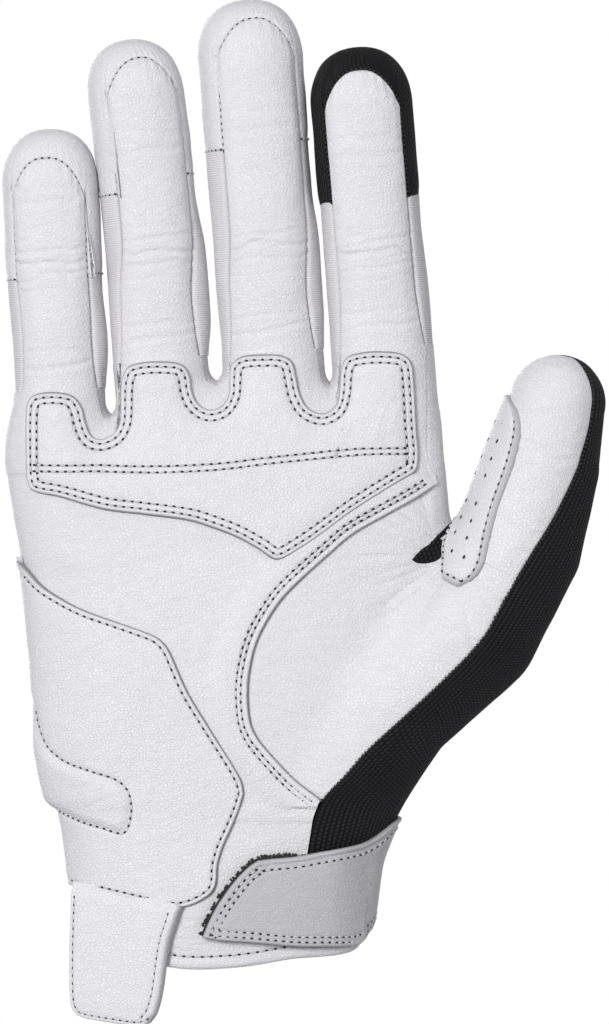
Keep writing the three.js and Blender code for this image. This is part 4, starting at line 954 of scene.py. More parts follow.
seamLine = smoothLine(placed(
    (436, 484), (414, 499), (384, 516), (351, 535), (330, 553), (301, 579), (284, 596), (271, 614), (259, 636),
    (252, 658), (248, 687), (250, 719), (256, 734), (265, 746), (279, 762), (295, 778), (320, 797),
))[::-1]
knitEdgeRows = [
    [0.076, 0.171], [0.171, 0.18], [0.223, 0.197], [0.258, 0.222], [0.294, 0.272], [0.337, 0.327],
    [0.401, 0.428], [0.468, 0.529], [0.523, 0.601], [0.584, 0.651], [0.622, 0.681],
]
sideOutline = [
    [0.365, 0.076], [0.389, 0.168], [0.394, 0.21], [0.389, 0.252], [0.433, 0.289], [0.481, 0.324],
    [0.536, 0.361], [0.644, 0.433], [0.728, 0.495], [0.772, 0.559], [0.79, 0.578],
]
sideBack = [0.06, 0.13, 0.18, 0.22, 0.26, 0.3, 0.36, 0.44, 0.53, 0.61, 0.665]
backEdge = [
    [0.05, 140], [0.215, 142], [0.345, 138], [0.5, 131], [0.62, 123], [0.68, 112], [0.74, 97], [1.02, 97],
]
backRightAngle = 97
backLeftAngle = 263
palmEdgeAngle = 289
castleLine = smoothLine(placed(
    (29, 478), (28, 440), (29, 408), (34, 397), (45, 393), (62, 393), (74, 397), (81, 408), (85, 424), (91, 437),
    (101, 441), (113, 437), (121, 427), (124, 410), (125, 382), (130, 368), (142, 363), (165, 362), (181, 365),
    (188, 375), (191, 391), (197, 404), (208, 411), (220, 409), (229, 398), (232, 380), (234, 365), (243, 357),
    (262, 355), (281, 356), (291, 362), (295, 376), (299, 395), (307, 409), (322, 415), (335, 408), (341, 392),
    (343, 370), (348, 358), (362, 353), (385, 352), (402, 355), (410, 364), (413, 390), (415, 426), (417, 452),
    (416, 468),
), 0.4)
castleLow = smoothLine(placed(
    (29, 478), (34, 490), (60, 497), (105, 510), (145, 515), (189, 521), (215, 529), (238, 538), (258, 549),
    (277, 560), (300, 549), (325, 532), (349, 514), (378, 495), (402, 480), (412, 474), (416, 468),
), 0.4)
crossLine = smoothLine(placed((33, 468), (90, 470), (156, 471), (220, 468), (270, 462), (330, 456), (380, 452), (408, 451)))


def palmRelief(p):
    x, z = p[..., 0], p[..., 2]
    soft = 0.3 * noiseAt(p, 17, 1) + 0.1 * noiseAt(p, 5, 2)
    drawn = np.stack([x * 0.35 + z * 0.1, p[..., 1] * 0.3, z - 0.25 * x], -1)
    folds = 0.16 * (1 - np.abs(noiseAt(drawn, 2.6, 5))) * smoothStep(noiseAt(p, 19, 6), -0.2, 0.5)
    return soft + folds


# Folds that run out from the crotch of the thumb: ridges by angle that fade with distance.
def crotchFolds(p):
    x, z = p[..., 0] - 55.5, p[..., 2] - 99
    away = np.hypot(x, z)
    angle = np.arctan2(z, x)
    wave = np.abs(noiseAt(np.stack([angle * 5.2, away * 0.03, 0 * away], -1), 1.0, 9))
    return -0.75 * (1 - wave) ** 5 * smoothStep(away, 3, 8) * (1 - smoothStep(away, 16, 42))


def edgeOfSkin(degrees, z):
    middle, half, front, back, power = handSection(z)
    angle = np.radians(degrees)
    squared = lambda value: np.sign(value) * np.abs(value) ** (2 / power)
    depth = np.where(np.cos(angle) > 0, front, back)
    return np.stack([middle + half * squared(np.sin(angle)), -depth * squared(np.cos(angle)), z], -1)


upwards = np.array([0.0, 0.0, 1.0])


# Height of the crease of the finger that a place across the hand lies nearest to.
def creaseHeight(x):
    x = np.asarray(x, float)
    away = np.stack([np.abs(x - finger["baseX"]) - finger["baseWidth"] / 2 for finger in fingers])
    heights = np.stack([
        finger["baseZ"] - (x - finger["baseX"]) * finger["along"][0] / finger["along"][2] for finger in fingers
    ])
    return np.take_along_axis(heights, np.argmin(away, axis=0)[None], axis=0)[0]


# Height where the skin seen from one side turns in between two fingers to a given depth.
def turnHeight(facing, x, depth):
    crease = creaseHeight(x)
    low, high = np.full(x.shape, 118.0), crease.copy()
    deep = lambda heights: np.abs(skinSeen(facing, x, heights)[:, 1]) > depth
    whole = deep(crease - 0.02)
    for _ in range(9):
        middle = (low + high) / 2
        stays = deep(middle)
        low, high = np.where(stays, middle, low), np.where(stays, high, middle)
    return np.where(whole, crease, low)


webDepths = {"front": 7.0, "back": 8.5}



# How far the leather lies deeper near the left outline below the heel panel's upper edge.
def heelSink(x, z):
    return 0.85 * (1 - smoothStep(x, -44, -33)) * (1 - smoothStep(z, 92, 100))


# ---- palm

palm = {"thickness": 1.3, "rows": 204 if fine else 110, "columns": 175 if fine else 90, "turnFrom": 116.0}


def makePalm():
    seamUp = seamLine[:, 1]
    right = lambda z: np.interp(z, np.r_[11.3, 25, 33.5, seamUp, 130, 150], np.r_[
        17.8, 18.8, 20.2, seamLine[:, 0], 50.9, 48.5])
    low, high = 11.3, 149.0
    us = spaced(100.0, palm["columns"], (0, 0.05, 0.15, 0.35, 0.7, 1.2, 1.8, 2.6, 3.5, 4.6, 6), edgeSteps)
    topLeft, topRight = edgeOfSkin(np.array([palmEdgeAngle]), np.array([high]))[0, 0], 48.3
    topXs = mix(topLeft, topRight, us)
    tops = np.where(topXs < -46, creaseHeight(topXs), turnHeight(1, topXs, webDepths["front"]))
    levels = np.linspace(0, 1, palm["rows"])[:, None]
    level = mix(low, high, levels)
    raised = level + 4.4 * (1 - us[None]) ** 2 * (1 - smoothStep(level, low, 37))
    share = np.clip((level - palm["turnFrom"]) / (high - palm["turnFrom"]), 0, 1)
    z = np.where(share > 0, mix(palm["turnFrom"], tops[None], share), raised)
    side = settle(gloveField, edgeOfSkin(palmEdgeAngle, z[:, 0]), upwards)
    upright = smoothStep(z, palm["turnFrom"] - 2, 126)
    leaning = mix(side[:, :1], right(z), us[None])
    x = mix(leaning, topXs[None], upright)
    base = skinSeen(1, x, z)
    base[:, 0] = side
    wraps = np.linspace(backLeftAngle + 0.8, palmEdgeAngle, 44 if fine else 20)[:-1]
    wrapZ = z[:, :1] + 0 * wraps
    wrapped = settle(gloveField, edgeOfSkin(wraps[None] + 0 * wrapZ, wrapZ), upwards)
    base = np.concatenate([wrapped, base], axis=1)
    x, z = base[..., 0], base[..., 2]
    away, _ = lineDistance(x, z, seamLine[::3])
    inSeam = (z > 36) & (z < 119)
    away = np.where(inSeam, away, 9.0)
    rim = rolled(away, 0.7, 0.5)
    rows = sum(-0.22 * np.exp(-((away - at) / 0.42) ** 2) for at in (1.75, 2.9))
    lifted = 1.15 * (1 - smoothStep(away, 5, 11)) * (z > 33)
    height = lifted + rim + rows + palmRelief(base) + 0.3 * crotchFolds(base)
    height = height + rolled(borderDistance(base, "l"), 1.2, 0.9) - heelSink(x, z)
    values = {"cutEdgeAndShade": np.clip(1.25 - away / 0.4, 0, 1) * inSeam}
    low = -palm["thickness"] + 1.3 * lifted
    piece = shellOn("palmLeather", base, height, low, values=values)
    finish(piece, "white", "hand", ["palm_panel"])
    parts = []
    line = seamLine[2:-2]
    for aside in (1.75, 2.9):
        path = movedAside(line, aside)
        path = path[:-3]
        laid, up = laidLine(path, 1.15)
        parts += stitchParts(laid, up)
    finish(piecesObject("palmSeamStitches", parts), "thread", "hand")


# Strip of leather that carries the palm round the right outline, below its upper right edge.
def makePalmSide():
    us, vs = spaced(26.0, 60 if fine else 30, (), edgeSteps[:-3]), np.linspace(0, 1, 90 if fine else 44)
    degrees = mix(48.0, backRightAngle + 1.4, us)[None] + 0 * vs[:, None]
    edge = edgeOfSkin(degrees[0], np.full(us.shape, float(hand["length"])))
    tops = creaseHeight(edge[:, 0])[None] + 0.1
    z = mix(104.0, tops, vs[:, None])
    base = settle(gloveField, edgeOfSkin(degrees, z), upwards)
    height = 0.12 + 0.8 * palmRelief(base) + rolled(borderDistance(base, "r"), 1.0, 0.9)
    height = height - 0.28 * np.exp(-((borderDistance(base, "r") - 3.4) / 0.4) ** 2) - 0.9 * (1 - smoothStep(degrees, 52, 66))
    piece = shellOn("palmSideStrip", base, height, palm["thickness"], normals=outward(gloveField, base, upwards))
    finish(piece, "white", "hand")


makePalm()
makePalmSide()
print("palm made")


# Grid between four lines: the two pairs of opposite sides blended, less the blend of the corners.
def between(bottom, right, top, left, us, vs):
    def along(line, shares):
        line = np.asarray(line, float)
        lengths = np.r_[0, np.cumsum(np.linalg.norm(np.diff(line, axis=0), axis=1))]
        return np.stack([np.interp(shares * lengths[-1], lengths, line[:, k]) for k in range(2)], -1)

    u, v = us[None, :, None], vs[:, None, None]
    low, high = along(bottom, us)[None], along(top, us)[None]
    first, last = along(left, vs)[:, None], along(right, vs)[:, None]
    corners = (1 - u) * ((1 - v) * low[:, :1] + v * high[:, :1]) + u * ((1 - v) * low[:, -1:] + v * high[:, -1:])
    return (1 - v) * low + v * high + (1 - u) * first + u * last - corners


# ---- thumb mound

mound = {"thickness": 1.3, "rows": 190 if fine else 90, "columns": 150 if fine else 70}
thumb = {
    "crease": np.array([68, -5.5, 94.3]), "reach": 44.7, "knuckleAt": 32.0, "innerAngle": -100.0,
    "edgeAngles": [[0, 12], [14, 24], [32, 38], [42, 46], [50, 44], [57, 36]], "split": 16.0,
}
thumbLean = np.array([0.46, 0, 0.89]) / math.hypot(0.46, 0.89)
thumbTipLean = np.array([0.2327, 0, 0.9725])
thumbAxis = [[0, 68, -5.5, 94.3], [27.94, 77.6, -4, 120.5], [44.73, 81.5, -3, 136.8]]


# Point of the thumb's skin at an angle from its palm side and a distance from its crease: a ring
# round its middle line, settled onto the skin in the ring's own plane, then a round tip.
def thumbPlace(degrees, t):
    degrees, t = np.broadcast_arrays(np.asarray(degrees, float), np.asarray(t, float))
    share = np.clip(t / thumb["knuckleAt"], 0, 1)[..., None]
    along = mix(thumbLean, thumbTipLean, share)
    along = along / np.linalg.norm(along, axis=-1, keepdims=True)
    axis = np.array(thumbAxis)
    held = np.clip(t, 0, thumb["reach"])
    centre = np.stack([tableAt(axis[:, [0, k]], held) for k in (1, 2, 3)], -1)
    centre = centre + np.minimum(t, 0)[..., None] * thumbLean
    across = np.stack([along[..., 2], 0 * t, -along[..., 0]], -1)
    radius = thumbBalls[5][3]
    beyond = np.clip((t - thumb["reach"]) / radius, 0, 1)
    reach = radius * np.sqrt(1 - beyond**2)
    angle = np.radians(degrees)
    point = centre + (radius * beyond)[..., None] * along + (reach * np.sin(angle))[..., None] * across
    point[..., 1] -= reach * np.cos(angle)
    settled = settle(gloveField, point, along)
    return np.where(beyond[..., None] > 0, point, settled)


def thumbEdge(t):
    return tableAt(thumb["edgeAngles"], t)


def knitEdgeX(z):
    return hand["span"] * tableAt(knitEdgeRows, z / hand["length"])


creaseSlope = thumbLean[0] / thumbLean[2]
moundTop = smoothLine([
    (46.6, 112.9), (49.6, 109.6), (52.4, 106.2), (54.2, 103.2), (55.6, 100.7),
    (59, 94.3 + 9 * creaseSlope), (63, 94.3 + 5 * creaseSlope), (67, 94.3 + creaseSlope), (70.9, 94.3 - 2.9 * creaseSlope),
])


def makeMound():
    under = movedAside(seamLine, 2.6)
    under = under[(under[:, 1] > 36.5) & (under[:, 1] < 113.2)]
    left = np.array([(21.0, 36.6), *under[2:-2], (46.6, 112.9)])
    rises = np.linspace(38.2, 92.8, 60)
    right = np.stack([knitEdgeX(rises), rises], -1)
    bottom = np.array([left[0], right[0]])
    us = spaced(40.0, mound["columns"], (), (0, 0.1, 0.25, 0.45, 0.7, 1.0, 1.4, 1.9, 2.5))
    grid = between(bottom, right, moundTop, left, us, np.linspace(0, 1, mound["rows"]))
    base = skinSeen(1, grid[..., 0], grid[..., 1])
    away = borderDistance(base, "r")
    drawn = np.stack([base[..., 0] * 0.12 + base[..., 2] * 0.05, base[..., 1] * 0.2, base[..., 2] - 0.27 * base[..., 0]], -1)
    folds = 0.2 * (1 - np.abs(noiseAt(drawn, 1.5, 3))) * smoothStep(noiseAt(base, 16, 4), -0.5, 0.4)
    inside = smoothStep(borderDistance(base, "lt"), 0, 4)
    height = palmRelief(base) + 0.6 * folds * inside + 0.55 * crotchFolds(base) + rolled(away, 1.1, 0.9)
    under = smoothStep(borderDistance(base, "l"), 1.5, 5.0)
    height = mix(np.minimum(height, -0.25), height, under)
    finish(shellOn("moundLeather", base, height, mound["thickness"]), "mound", "hand", ["thenar_panel"])


def tableOf(rows, share):
    return tableAt([[i / (len(rows) - 1), row] for i, row in enumerate(rows)], share)


# Slow swelling of the knit panels.
def knitRelief(p):
    return 0.16 * noiseAt(p, 14, 7) + 0.1 * noiseAt(p, 6, 33)


side = {"thickness": 1.3, "rows": 130 if fine else 60, "columns": 90 if fine else 40}


# Knit side: arcs bent round the mound, from the leather's edge to the back, settled onto the skin.
def makeSide():
    vs = np.linspace(0, 1, side["rows"])
    us = spaced(70.0, side["columns"], (0, 0.15, 0.35, 0.6, 0.9, 1.3, 1.8))
    up = tableOf([row[0] for row in knitEdgeRows], vs)
    front = skinSeen(1, hand["span"] * tableAt(knitEdgeRows, up), hand["length"] * up)
    outX = hand["span"] * tableOf([row[0] for row in sideOutline], vs)
    outZ = hand["length"] * tableOf([row[1] for row in sideOutline], vs)
    out = np.stack([outX, front[:, 1] / 4, outZ], -1)
    push = out - front
    push[:, 1] = 0
    out = out + thumbBalls[0][3] * push / np.linalg.norm(push, axis=-1, keepdims=True)
    backZ = hand["length"] * tableOf(sideBack, vs)
    back = settle(gloveField, edgeOfSkin(tableAt(backEdge, backZ / hand["length"]) - 1.6, backZ), upwards)
    u = us[None, :, None]
    arcs = (1 - u) ** 2 * front[:, None] + 2 * u * (1 - u) * out[:, None] + u**2 * back[:, None]
    ring = thumbPlace(mix(thumbEdge(0.0), 262.0, us), 0.0)
    share = smoothStep(vs, 0.7, 1.0)[:, None, None]
    base = settle(gloveField, mix(arcs, ring[None], share))
    base[-1] = ring
    away = borderDistance(base, "l")
    height = knitRelief(base) + rolled(away, 1.1, 0.9)
    finish(shellOn("sideKnit", base, height, side["thickness"]), "knit", "hand", ["thumb_side_panel"])


# Thread loops that lie across an edge, as an overlock leaves them.
def loopParts(line, upward, pitch=1.15, length=1.1):
    lengths = np.r_[0, np.cumsum(np.linalg.norm(np.diff(line, axis=0), axis=1))]
    count = max(int(round(lengths[-1] / pitch)), 1)
    spots = (np.arange(count) + 0.5) * lengths[-1] / count
    at = lambda array, where: np.stack([np.interp(where, lengths, array[:, k]) for k in range(3)], -1)
    ahead = at(line, np.minimum(spots + 0.3, lengths[-1])) - at(line, np.maximum(spots - 0.3, 0))
    lift = at(upward, spots)
    across = np.cross(ahead, lift)
    lean = np.where(np.arange(count) % 2 == 0, 0.45, -0.2)[:, None]
    return [repeated(stitchTemplate(length, 0.55, 0.5), at(line, spots), across + lean * ahead, lift)]


def makeMoundEdge():
    rises = np.linspace(37.5, 92.8, 160)
    laid, up = laidLine(np.stack([knitEdgeX(rises) - 0.1, rises], -1), -0.05)
    finish(piecesObject("moundEdgeLoops", loopParts(laid, up)), "blackThread", "hand")


makeMound()
makeSide()
makeMoundEdge()
print("thumb mound made")

# ---- grip patch

grip = {"lift": 0.35, "thickness": 1.15, "rows": 34 if fine else 16, "stitchRows": (1.35, 2.85)}


def smoothedNormals(line, reach=4):
    along = np.gradient(line, axis=0)
    kernel = np.ones(2 * reach + 1) / (2 * reach + 1)
    padded = np.pad(along, ((reach, reach), (0, 0)), mode="edge")
    along = np.stack([np.convolve(padded[:, k], kernel, "valid") for k in range(2)], -1)
    along /= np.linalg.norm(along, axis=1)[:, None]
    return np.stack([along[:, 1], -along[:, 0]], -1)


# Rows of a patch: first the lower edge moved inwards by the edge steps, then even rows across to
# the upper edge moved inwards, then that edge's own steps.
def insetRows(upper, lower, steps, count):
    fall, rise = smoothedNormals(upper), -smoothedNormals(lower)
    low = [lower + step * rise for step in steps]
    high = [upper + step * fall for step in steps[::-1]]
    middle = [mix(low[-1], high[0], share) for share in np.linspace(0, 1, count)[1:-1]]
    return np.array(low + middle + high)


# Slanting folds in the patch below its fingers, deepest half way up it.
def mergeFolds(x, z):
    drawn = np.stack([0.9 * x - 0.5 * z, 0 * x, 0.14 * x + 0.2 * z], -1)
    return 0.24 * (1 - np.abs(noiseAt(drawn, 2.6, 11))) ** 3 * np.exp(-(((z - 132) / 8) ** 2)) * (z > 122)


# Height of the patch's top at places across and up, the leather's relief there, and the distance to the
# patch's border.
def gripTop(base, x, z):
    outline = np.concatenate([castleLine[::2], castleLow[::-1][::2], castleLine[:1]])
    away, _ = lineDistance(x, z, outline)
    cross, _ = lineDistance(x, z, crossLine[::4])
    inner = smoothStep(away, 2.6, 6)
    grooves = sum(-0.24 * np.exp(-((away - at) / 0.4) ** 2) for at in grip["stitchRows"])
    grooves = grooves - 0.3 * np.exp(-((cross - 0.75) / 0.45) ** 2) * smoothStep(away, 1.5, 3)
    relief = palmRelief(base)
    level = grip["lift"] + grip["thickness"] + relief + grooves + rolled(away, 0.7, 1.05)
    return level + (0.35 + mergeFolds(x, z)) * inner, relief, away


def makeGrip():
    count = len(castleLine) if fine else len(castleLine) // 2
    shares = np.linspace(0, 1, count)

    def evenly(line):
        lengths = np.r_[0, np.cumsum(np.linalg.norm(np.diff(line, axis=0), axis=1))]
        return np.stack([np.interp(shares * lengths[-1], lengths, line[:, k]) for k in range(2)], -1)

    steps = (0, 0.07, 0.18, 0.32, 0.5, 0.75, 1.05, 1.35, 1.7, 2.1, 2.5)
    grid = insetRows(evenly(castleLine), evenly(castleLow), steps, grip["rows"])
    base = skinSeen(1, grid[..., 0], grid[..., 1])
    height, relief, away = gripTop(base, grid[..., 0], grid[..., 1])
    low = np.minimum(grip["lift"] + relief, height - 0.1)
    normals = outward(gloveField, base)
    # The border takes the cut colour: the raw cut edge, widened by painted shade along it.
    piece = shellOn("gripPatch", base, height, low, values={"cutEdgeAndShade": np.clip(1.35 - away / 0.48, 0, 1)}, normals=normals)
    finish(piece, "white", "hand", ["grip_patch"])
    parts = []
    for step in grip["stitchRows"]:
        for line, turn in ((castleLine, 1), (castleLow, -1)):
            path = line + step * turn * smoothedNormals(line)
            above = 0.16 if step < 2 else 0.27
            laid, up = laidLine(path[3:-3], lambda x, z: gripTop(skinSeen(1, x, z), x, z)[0] + above)
            parts += stitchParts(laid, up)
    for aside in (-0.75, 0.75):
        path = movedAside(crossLine, aside)[2:-2]
        laid, up = laidLine(path, lambda x, z: gripTop(skinSeen(1, x, z), x, z)[0] + 0.27)
        parts += stitchParts(laid, up)
    finish(piecesObject("gripStitches", parts), "thread", "hand")


# Height of an overlay's top at places across and up: its own level and the leather's relief there.
def reliefTop(x, z, level):
    base = skinSeen(1, x, z)
    return level + palmRelief(base)


makeGrip()
print("grip patch made")

# ---- heel panel

heel = {"lift": 0.3, "thickness": 1.15, "rows": 120 if fine else 60, "columns": 150 if fine else 75, "stitchAt": 1.35, "puff": 0.8, "leftAngle": 280.0}
heelTop = smoothLine(placed(
    (19, 556), (29, 570), (42, 585), (60, 597), (84, 609), (120, 622), (148, 632), (160, 638), (169, 648), (178, 668),
    (189, 692), (204, 717), (221, 744), (233, 763), (242, 780), (244, 792),
))
heelLow = smoothLine(placed(
    (69, 884), (100, 890), (140, 899), (176, 906), (192, 903), (204, 897), (213, 890), (217, 880), (218, 864), (223, 846),
    (231, 828), (239, 809), (244, 792),
))
padLine = smoothLine(placed(
    (30, 692), (36, 704), (41, 725), (50, 746), (67, 760), (92, 769), (118, 778), (130, 790), (133, 811), (126, 831),
    (104, 826), (84, 820), (57, 809), (44, 803),
))


# Left edge of the hand's skin at heights.
def skinLeft(z):
    return hand["span"] * tableAt(leftShares, z / hand["length"])


def makeHeel():
    leftZ = np.linspace(heelLow[0, 1], heelTop[0, 1], 80)
    leftSide = settle(gloveField, edgeOfSkin(heel["leftAngle"], leftZ), upwards)
    left = np.stack([leftSide[:, 0], leftZ], -1)
    low, top = heelLow.copy(), heelTop.copy()
    low[0], top[0] = left[0], left[-1]
    right = np.array([low[-1], top[-1]])
    vs = spaced(62.0, heel["rows"], edgeSteps, edgeSteps)
    us = spaced(75.0, heel["columns"], (0, 0.05, 0.15, 0.35, 0.7, 1.2, 1.8, 2.6, 3.5, 4.6, 6), edgeSteps[::2])
    grid = between(low, right, top, left, us, vs)
    base = skinSeen(1, grid[..., 0], grid[..., 1])
    base[:, 0] = settle(gloveField, edgeOfSkin(heel["leftAngle"], base[:, 0, 2]), upwards)
    away, _ = lineDistance(grid[..., 0], grid[..., 1], np.concatenate([heelTop[::2], heelLow[::-1][::2]]))
    pad, _ = lineDistance(grid[..., 0], grid[..., 1], padLine[::2])
    padded = insideOf(grid[..., 0], grid[..., 1], np.concatenate([padLine[::2], [(-60, 36), (-60, 65)]]))
    relief = palmRelief(base)
    relief = relief - heelSink(grid[..., 0], grid[..., 1])
    height = heel["lift"] + heel["thickness"] + relief + rolled(away, 0.75, 1.0)
    height = height - 0.24 * np.exp(-((away - heel["stitchAt"]) / 0.4) ** 2) - 0.35 * np.exp(-(pad / 0.55) ** 2)
    height = height + padded * heel["puff"] * smoothStep(pad, 0, 2.4)
    low = np.minimum(0.25 + relief + 0.75 * padded * smoothStep(pad, 0.5, 2.4), height - 0.1)
    normals = outward(gloveField, base)
    values = {"cutEdgeAndShade": np.clip(1.25 - away / 0.36, 0, 1)}
    piece = shellOn("heelPanel", base, height, low, values=values, normals=normals)
    finish(piece, "white", "hand", ["heel_panel"])
    parts = []
    level = heel["lift"] + heel["thickness"] - 0.1
    for line, turn in ((heelTop, 1), (heelLow, -1)):
        path = line + heel["stitchAt"] * turn * smoothedNormals(line)
        path = path[path[:, 0] > skinLeft(path[:, 1]) + 1.0]
        laid, up = laidLine(path, lambda x, z: reliefTop(x, z, level) - heelSink(x, z))
        parts += stitchParts(laid, up)
    path = padLine[padLine[:, 0] > skinLeft(padLine[:, 1]) + 1.0]
    laid, up = laidLine(path, lambda x, z: reliefTop(x, z, level - 0.12) - heelSink(x, z))
    parts += stitchParts(laid, up, 1.9)
    finish(piecesObject("heelStitches", parts), "thread", "hand")


# Whether places lie inside a closed outline: the crossings of a ray to one side are counted.
def insideOf(x, z, outline):
    outline = np.asarray(outline, float)
    inside = np.zeros(x.shape, bool)
    for (ax, az), (bx, bz) in zip(outline, np.roll(outline, -1, axis=0)):
        if az == bz:
            continue
        crosses = (az > z) != (bz > z)
        at = ax + (z - az) * (bx - ax) / (bz - az)
        inside ^= crosses & (x < at)
    return inside


makeHeel()
print("heel panel made")

# ---- foam pad inside the heel panel


def makeHeelPad():
    rim = np.array(placed((46, 716), (54, 750), (92, 774), (122, 786), (126, 812), (104, 819), (64, 806), (46, 780)))
    rim = smoothLine(np.concatenate([rim, rim[:1]]), 1.0)[:-1]
    centre = rim.mean(axis=0)
    shares = np.linspace(1, 0, 14)[:, None, None]
    grid = centre + shares * (rim[None] - centre)
    base = skinSeen(1, grid[..., 0], grid[..., 1])
    level = palmRelief(base) - heelSink(grid[..., 0], grid[..., 1])
    height = 0.2 + 0.6 * np.sqrt(1 - np.minimum(shares[..., 0], 0.999) ** 4) + level
    normals = outward(gloveField, base)
    low = 0.12 + level
    outer, inner = base + height[..., None] * normals, base + low[..., None] * normals
    piece = shellObject("heelPad", outer, inner, wrap=True, pole=True, values={"cutEdgeAndShade": 0 * height})
    finish(piece, "lining", "hand", ["heel_pad"])


makeHeelPad()

# ---- fingers

fingerShape = {"split": 13.0, "frontAngle": 48.0, "rootAngle": 57.0, "backAngle": 114.0, "spacing": 0.5 if fine else 1.1}


def frontSeam(t):
    return tableAt([[0, fingerShape["rootAngle"]], [5, 52], [13, fingerShape["frontAngle"]]], t)


# Point of a finger's skin at an angle from its palm side and a distance from its crease: a squared
# oval that closes towards the tip; near the hand it is settled onto the blended skin.
def fingerPlace(finger, degrees, t):
    degrees, t = np.broadcast_arrays(np.asarray(degrees, float), np.asarray(t, float))
    power = digit["power"]
    rounded = lambda value: np.sign(value) * np.abs(value) ** (2 / power)
    degrees = degrees + finger["twist"] * smoothStep(t, 14, 32)
    angle = np.radians(degrees)
    beyond = np.clip((t - finger["length"] + digit["closing"]) / digit["closing"], 0, 1)
    closing = np.maximum(1 - beyond**power, 0) ** (1 / power)
    sideways = closing * halfWidthAt(finger, t) * rounded(np.sin(angle)) + bowAt(finger, t)
    point = finger["base"] + t[..., None] * finger["along"] + sideways[..., None] * finger["across"]
    point[..., 1] -= closing * finger["depth"] / 2 * rounded(np.cos(angle))
    near = t[..., 0] < 16 if t.ndim > 1 else t < 16
    if near.any():
        point[near] = settle(gloveField, point[near], finger["along"])
    return point


# How much fuller a finger's sides are low down, where it lies against its neighbour.
def sideFill(finger, degrees, t):
    left, right = finger["fuller"]
    turned = np.clip((np.abs(degrees) - fingerShape["frontAngle"]) / (fingerShape["backAngle"] - fingerShape["frontAngle"]), 0, 1)
    band = np.minimum(np.where(degrees < 0, finger["bandLeft"], finger["bandRight"]), 43) - 1
    along = smoothStep(t, -5, 10) * (1 - smoothStep(t, band - 16, band))
    return np.where(degrees < 0, left, right) * np.sin(math.pi * turned) ** 0.7 * along


# Grooves across a finger where it bends, each with a low swelling at both sides.
def bendGrooves(t, degrees, rows, seed):
    total = np.zeros(np.shape(t))
    for at, depth, width, tilt in rows:
        waver = 1.1 * noiseAt(np.stack([degrees / 22, 0 * t + at, 0 * t], -1), 1.0, seed)
        offset = np.abs(t - at - waver - tilt * degrees / 40)
        total += -depth * np.exp(-((offset / width) ** 2)) + 0.35 * depth * np.exp(-(((offset - 2.1 * width) / width) ** 2))
    return total


def fingerRelief(finger, base, t, degrees):
    number = [one["name"] for one in fingers].index(finger["name"])
    knuckle = finger["knuckleAt"]
    rows = [
        (knuckle - 3.9, 0.26, 0.5, 0.5), (knuckle - 0.6, 0.42, 0.55, -0.3), (knuckle + 2.6, 0.3, 0.5, 0.4),
        (knuckle + 5.4, 0.12, 0.4, -0.5), (knuckle - 7.2, 0.12, 0.4, 0.3), (knuckle + 1.1, 0.1, 0.35, 0.9),
        (5.5, 0.26, 0.6, 0.7), (9.0, 0.16, 0.5, -0.4),
        (mix(knuckle, finger["length"], 0.46), 0.16, 0.8, 0.3), (mix(knuckle, finger["length"], 0.55), 0.12, 0.8, -0.4),
    ]
    grooves = bendGrooves(t, degrees, rows, 20 + number)
    drawn = np.stack([base[..., 0] * 0.35, base[..., 1] * 0.35, base[..., 2]], -1)
    fineFolds = 0.12 * (1 - np.abs(noiseAt(drawn, 1.2, 30 + number))) ** 2 * np.exp(-(((t - knuckle) / 9) ** 2))
    return grooves + fineFolds + 0.16 * noiseAt(base, 7, 31) + 0.07 * noiseAt(base, 3, 32)


def fingerBend(finger, key):
    start, end = {"root": (0.0, 12.0), "main": (max(14.0, finger["knuckleAt"] - 9), finger["knuckleAt"] + 9)}[key]
    bodies = {"root": ("hand", finger["name"] + "_lower"), "main": (finger["name"] + "_lower", finger["name"] + "_upper")}[key]
    at = lambda t: finger["base"] + t * finger["along"]
    return (*bodies, at(start), at(end))


def makeFingerPart(finger, label, low, high, angles, finishName, key, nodes, soft="lr", leather=True, top=None):
    columns = max(int((angles(20.0)[1] - angles(20.0)[0]) * 0.21 / fingerShape["spacing"]), 8)
    rows = max(int((high - low) / fingerShape["spacing"]), 4)
    width = (angles(20.0)[1] - angles(20.0)[0]) * 0.21
    us = spaced(width, columns, (0, 0.15, 0.35, 0.6, 0.9, 1.3, 1.8), (0, 0.15, 0.35, 0.6, 0.9, 1.3, 1.8))
    vs = np.linspace(0, 1, rows)
    if top is not None:
        vs = spaced(high - low, rows, (), (0, 0.12, 0.3, 0.5, 0.75, 1.05, 1.4, 1.9))
    guide = mix(low, high, vs)[:, None]
    first, last = angles(np.minimum(guide, finger["length"] - 16))
    degrees = mix(first, last, us[None])
    t = guide + 0 * degrees if top is None else mix(low, top(degrees), vs[:, None])
    base = fingerPlace(finger, degrees, t)
    away = borderDistance(base, soft)
    if leather:
        relief = fingerRelief(finger, base, t, degrees)
        puff = 0.45 * smoothStep(away, 0, 5)
        height = relief * smoothStep(away, 0, 1.6) + puff * smoothStep(t, 6, 18) + rolled(away, 1.2, 0.95)
        if top is not None:
            near = borderDistance(base, "t")
            gathers = 0.2 * np.exp(-near / 3.2) * np.sin(degrees * 0.21 * 2 * math.pi / 2.3 + 2 * noiseAt(base, 4, 8))
            height = height + gathers * smoothStep(near, 0.3, 1.2)
    else:
        height = knitRelief(base) + rolled(away, 1.2, 0.9) + sideFill(finger, degrees, t)
    piece = shellOn(finger["name"] + label, base, height, 1.2)
    finish(piece, finishName, None, nodes, fingerBend(finger, key))


